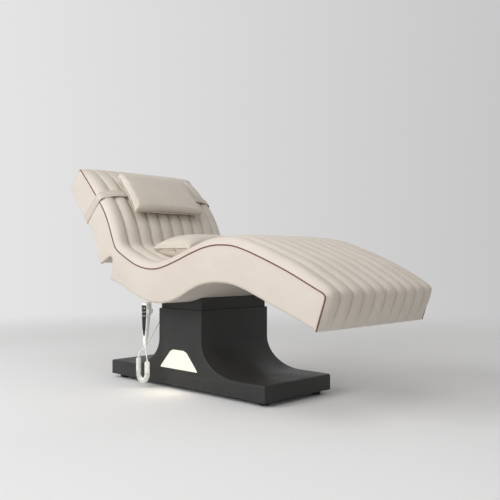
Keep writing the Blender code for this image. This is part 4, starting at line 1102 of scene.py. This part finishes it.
# key marks: an arrow up or down, and under it a level bar, a tilted bar or a split bar, each from one end to the other
markValues = {"arrow": [(-0.0030, -0.0002), (0.0030, -0.0002), (0.0, 0.0032)], "barZ": (-0.0031, -0.0019),
              "bars": ([(-0.0034, 0.0034)], [(-0.0034, 0.0034)], [(-0.0034, -0.0006), (0.0006, 0.0034)]),
              "tilt": (0.0, 0.0007, 0.0), "sunk": 0.0001}


def keyMark(number):
    x, z = keySpots[number]
    up, row = (1 if number % 2 == 0 else -1), number // 2
    (low, high), tilt, sunk = markValues["barZ"], markValues["tilt"][row], markValues["sunk"]
    outlines = [markValues["arrow"]] + [[(a, low - tilt), (b, low + tilt), (b, high + tilt), (a, high - tilt)]
                                        for a, b in markValues["bars"][row]]
    bm = bmesh.new()
    y = handFront - handset["keyTop"] + sunk
    for outline in outlines:
        addPrism(bm, [(x + shiftX + px, y, z + up * pz) for px, pz in outline], -sunk - handset["mark"])
    fixNormals(bm)
    return bm


for number in range(6):
    mark = makePiece(f"key_mark_{number + 1}", keyMark(number), "keyMark", 30)
    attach(mark, f"press_{number + 1}")


def makeBoot(x, y, top, length, wide):
    # ribbed sleeve turned round the cord, tapering away from its housing
    inner = cordValues["wire"] / 2 + 0.0001
    profile = [(inner, 0.0), (wide, 0.0)]
    ribs = 5
    for k in range(ribs):
        taper = wide + (inner + 0.0010 - wide) * (k + 1) / ribs
        profile += [(taper + swell, -length * (k + share) / ribs)
                    for swell, share in ((0.0005, 0.45), (0.0005, 0.75), (-0.0003, 0.85), (-0.0003, 1))]
    profile.append((inner, -length))
    bm = bmesh.new()
    ring = [bm.verts.new((x + shiftX + r, y, top + z)) for r, z in profile]
    edges = [bm.edges.new(pair) for pair in zip(ring, ring[1:] + ring[:1])]
    bmesh.ops.spin(bm, geom=ring + edges, cent=(x + shiftX, y, 0), axis=(0, 0, 1), angle=2 * pi, steps=28,
                   use_merge=True)
    fixNormals(bm)
    return bm


handBoot = makePiece("handset_boot", makeBoot(handX, handY, handLow - 0.0004, 0.0135, 0.0056),
                     "whitePlastic", 25)
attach(handBoot, "handset")
caseX, caseY, caseLow = cordValues["caseAt"]
caseBoot = makePiece("control_boot", makeBoot(caseX, caseY, caseLow - 0.0004, 0.0095, 0.0052),
                     "blackPlastic", 25)
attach(caseBoot, "seat")


def makePins():
    bm = bmesh.new()
    for y, z in ((-0.0065, -0.0022), (0.0065, -0.0022), (0.0, 0.0024)):
        addBox(bm, (0.0120, 0.0020, 0.0042), (shiftX - baseX + 0.0085, y, plinthMid + z))
    roundEdges(bm, list(bm.edges), 0.0005, 2)
    return bm


pins = makePiece("socket_pins", makePins(), "brightSteel", 30)
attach(pins, "base")
print("handset and small parts made")

# finishes of the rigid nodes that stay
nodeFinish = {
    "darkSteel": ["chassis_plate", "column_outer", "column_middle", "column_inner", "seat_saddle", "seat_rail_near",
                  "seat_rail_far", "seat_cross_mid", "seat_cross_foot", "back_rail_near", "back_rail_far", "back_cross",
                  "power_supply"],
    "brightSteel": ["lift_rod", "hinge_shaft", "back_drive_rod"],
    "blackPlastic": ["lift_drive", "back_drive_body", "control_box", "mains_inlet"],
    "plywood": ["seat_deck", "back_deck"],
    "whitePlastic": ["handset_clip"],
    "beigeLeather": ["seat_rear_board", "back_lowerboard"],
    "blackRubber": [f"rubber_foot_{i}" for i in range(1, 5)],
    "greyKeys": [f"key_{i}" for i in range(1, 7)],
}
for finish, names in nodeFinish.items():
    for name in names:
        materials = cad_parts[name].data.materials
        materials.clear()
        materials.append(looks[finish])
print("nodes finished")

# stage: a pale floor that fades into a backdrop, soft light from the left and above; floor and backdrop carry painted
# light, the floor lighter towards the right and the back, the backdrop lighter to the left
# floor and farFloorPaintedLight give the painted light on the floor, across it and towards the back
stageValues = {"toRight": (0.7147, 0.6994, 0), "toBack": (-0.6994, 0.7147, 0), "floor": (-0.95, 0.6, 0.71, 0.822),
               "farFloorPaintedLight": (-0.9, 1.3, 0.735, 0.89), "floorTint": (0.992, 1.0, 1.014), "fade": (1.5, 4.8),
               "paintedBackdropLight": (-0.36, 0.36, 0.785, 0.565), "world": 0.448, "worldTint": (1, 0.979, 0.948),
               "aim": (0, 0, 0.5), "glow": 0.22, "glowTint": (1.0, 0.88, 0.62)}
lampValues = {"keyLamp": {"place": (-1.2, -3.7, 2.7), "size": 2.2, "power": 81.0, "colour": (1.0, 0.993, 0.995)},
              "frontLamp": {"place": (0.96, -4.8, 2.26), "size": 3.5, "power": 74.0},
              "fillLamp": {"place": (1.0, -1.4, 3.4), "size": 2.5, "power": 23.5}}


def mixInto(tree, output, share, first, second):
    mix = addNode(tree, "MixShader", {0: share, 1: first.outputs[0], 2: second.outputs[0]})
    feed(tree, tree.nodes[output].inputs, {"Surface": mix.outputs[0]})


def makeFloor(values):
    bm = bmesh.new()
    bmesh.ops.create_circle(bm, cap_ends=True, segments=96, radius=6)
    floor = loosePiece("floor", bm)
    material, tree, shader, spot = newMaterial("paleFloor")
    # the floor's colour is painted lighter towards the right and towards the back, as painted light
    paintedLightAcross = rangeNode(tree, dotNode(tree, spot, values["toRight"]), *values["floor"])
    paintedLightBack = rangeNode(tree, dotNode(tree, spot, values["toBack"]), *values["farFloorPaintedLight"])
    paintedFloorLight = mathNode(tree, "MAXIMUM", paintedLightAcross, paintedLightBack)
    cooled = addNode(tree, "VectorMath", {0: values["floorTint"], "Scale": paintedFloorLight}, operation="SCALE")
    feed(tree, shader.inputs, {"Base Color": cooled.outputs["Vector"], "Roughness": 0.85, "Specular IOR Level": 0.1})
    away = addNode(tree, "VectorMath", {0: spot}, operation="LENGTH").outputs["Value"]
    fade = rangeNode(tree, away, *values["fade"], curve="SMOOTHSTEP")
    mixInto(tree, "Material Output", fade, shader, addNode(tree, "BsdfTransparent"))
    floor.data.materials.append(material)


def makeWorld(values):
    world = scene.world or bpy.data.worlds.new("World")
    scene.world = world
    world.use_nodes = True
    tree = world.node_tree
    soft = tree.nodes["Background"]
    feed(tree, soft.inputs, {"Color": (*values["worldTint"], 1), "Strength": values["world"]})
    across = dotNode(tree, addNode(tree, "TexCoord").outputs["Generated"], values["toRight"])
    # the backdrop seen by the camera is painted lighter to the left and darker to the right, as painted light falloff
    seen = addNode(tree, "Background", {"Color": rangeNode(tree, across, *values["paintedBackdropLight"])})
    rays = addNode(tree, "LightPath").outputs
    cameraOrGlossy = mathNode(tree, "MAXIMUM", rays["Is Camera Ray"], rays["Is Glossy Ray"])
    mixInto(tree, "World Output", mathNode(tree, "MAXIMUM", cameraOrGlossy, rays["Is Transmission Ray"]), soft, seen)


def addArea(name, place, aim, size, power, colour=(1, 1, 1)):
    lamp = addObject(name, bpy.data.lights.new(name, "AREA"))
    lamp.data.shape, lamp.data.size, lamp.data.energy, lamp.data.color = "DISK", size, power, colour
    lamp.location = place
    lamp.rotation_mode = "QUATERNION"
    lamp.rotation_quaternion = (Vector(aim) - Vector(place)).to_track_quat("-Z", "Y")


makeFloor(stageValues)
makeWorld(stageValues)
for name, values in lampValues.items():
    addArea(name, aim=stageValues["aim"], **values)
for side in (-1, 1):
    glowAt = (shiftX + pedestal["windowX"], side * (baseY + 0.012), 0.140)
    glowAim = (shiftX, side * (baseY + 0.30), 0.0)
    addArea("windowGlow", glowAt, glowAim, 0.10, stageValues["glow"], stageValues["glowTint"])
print("stage set")
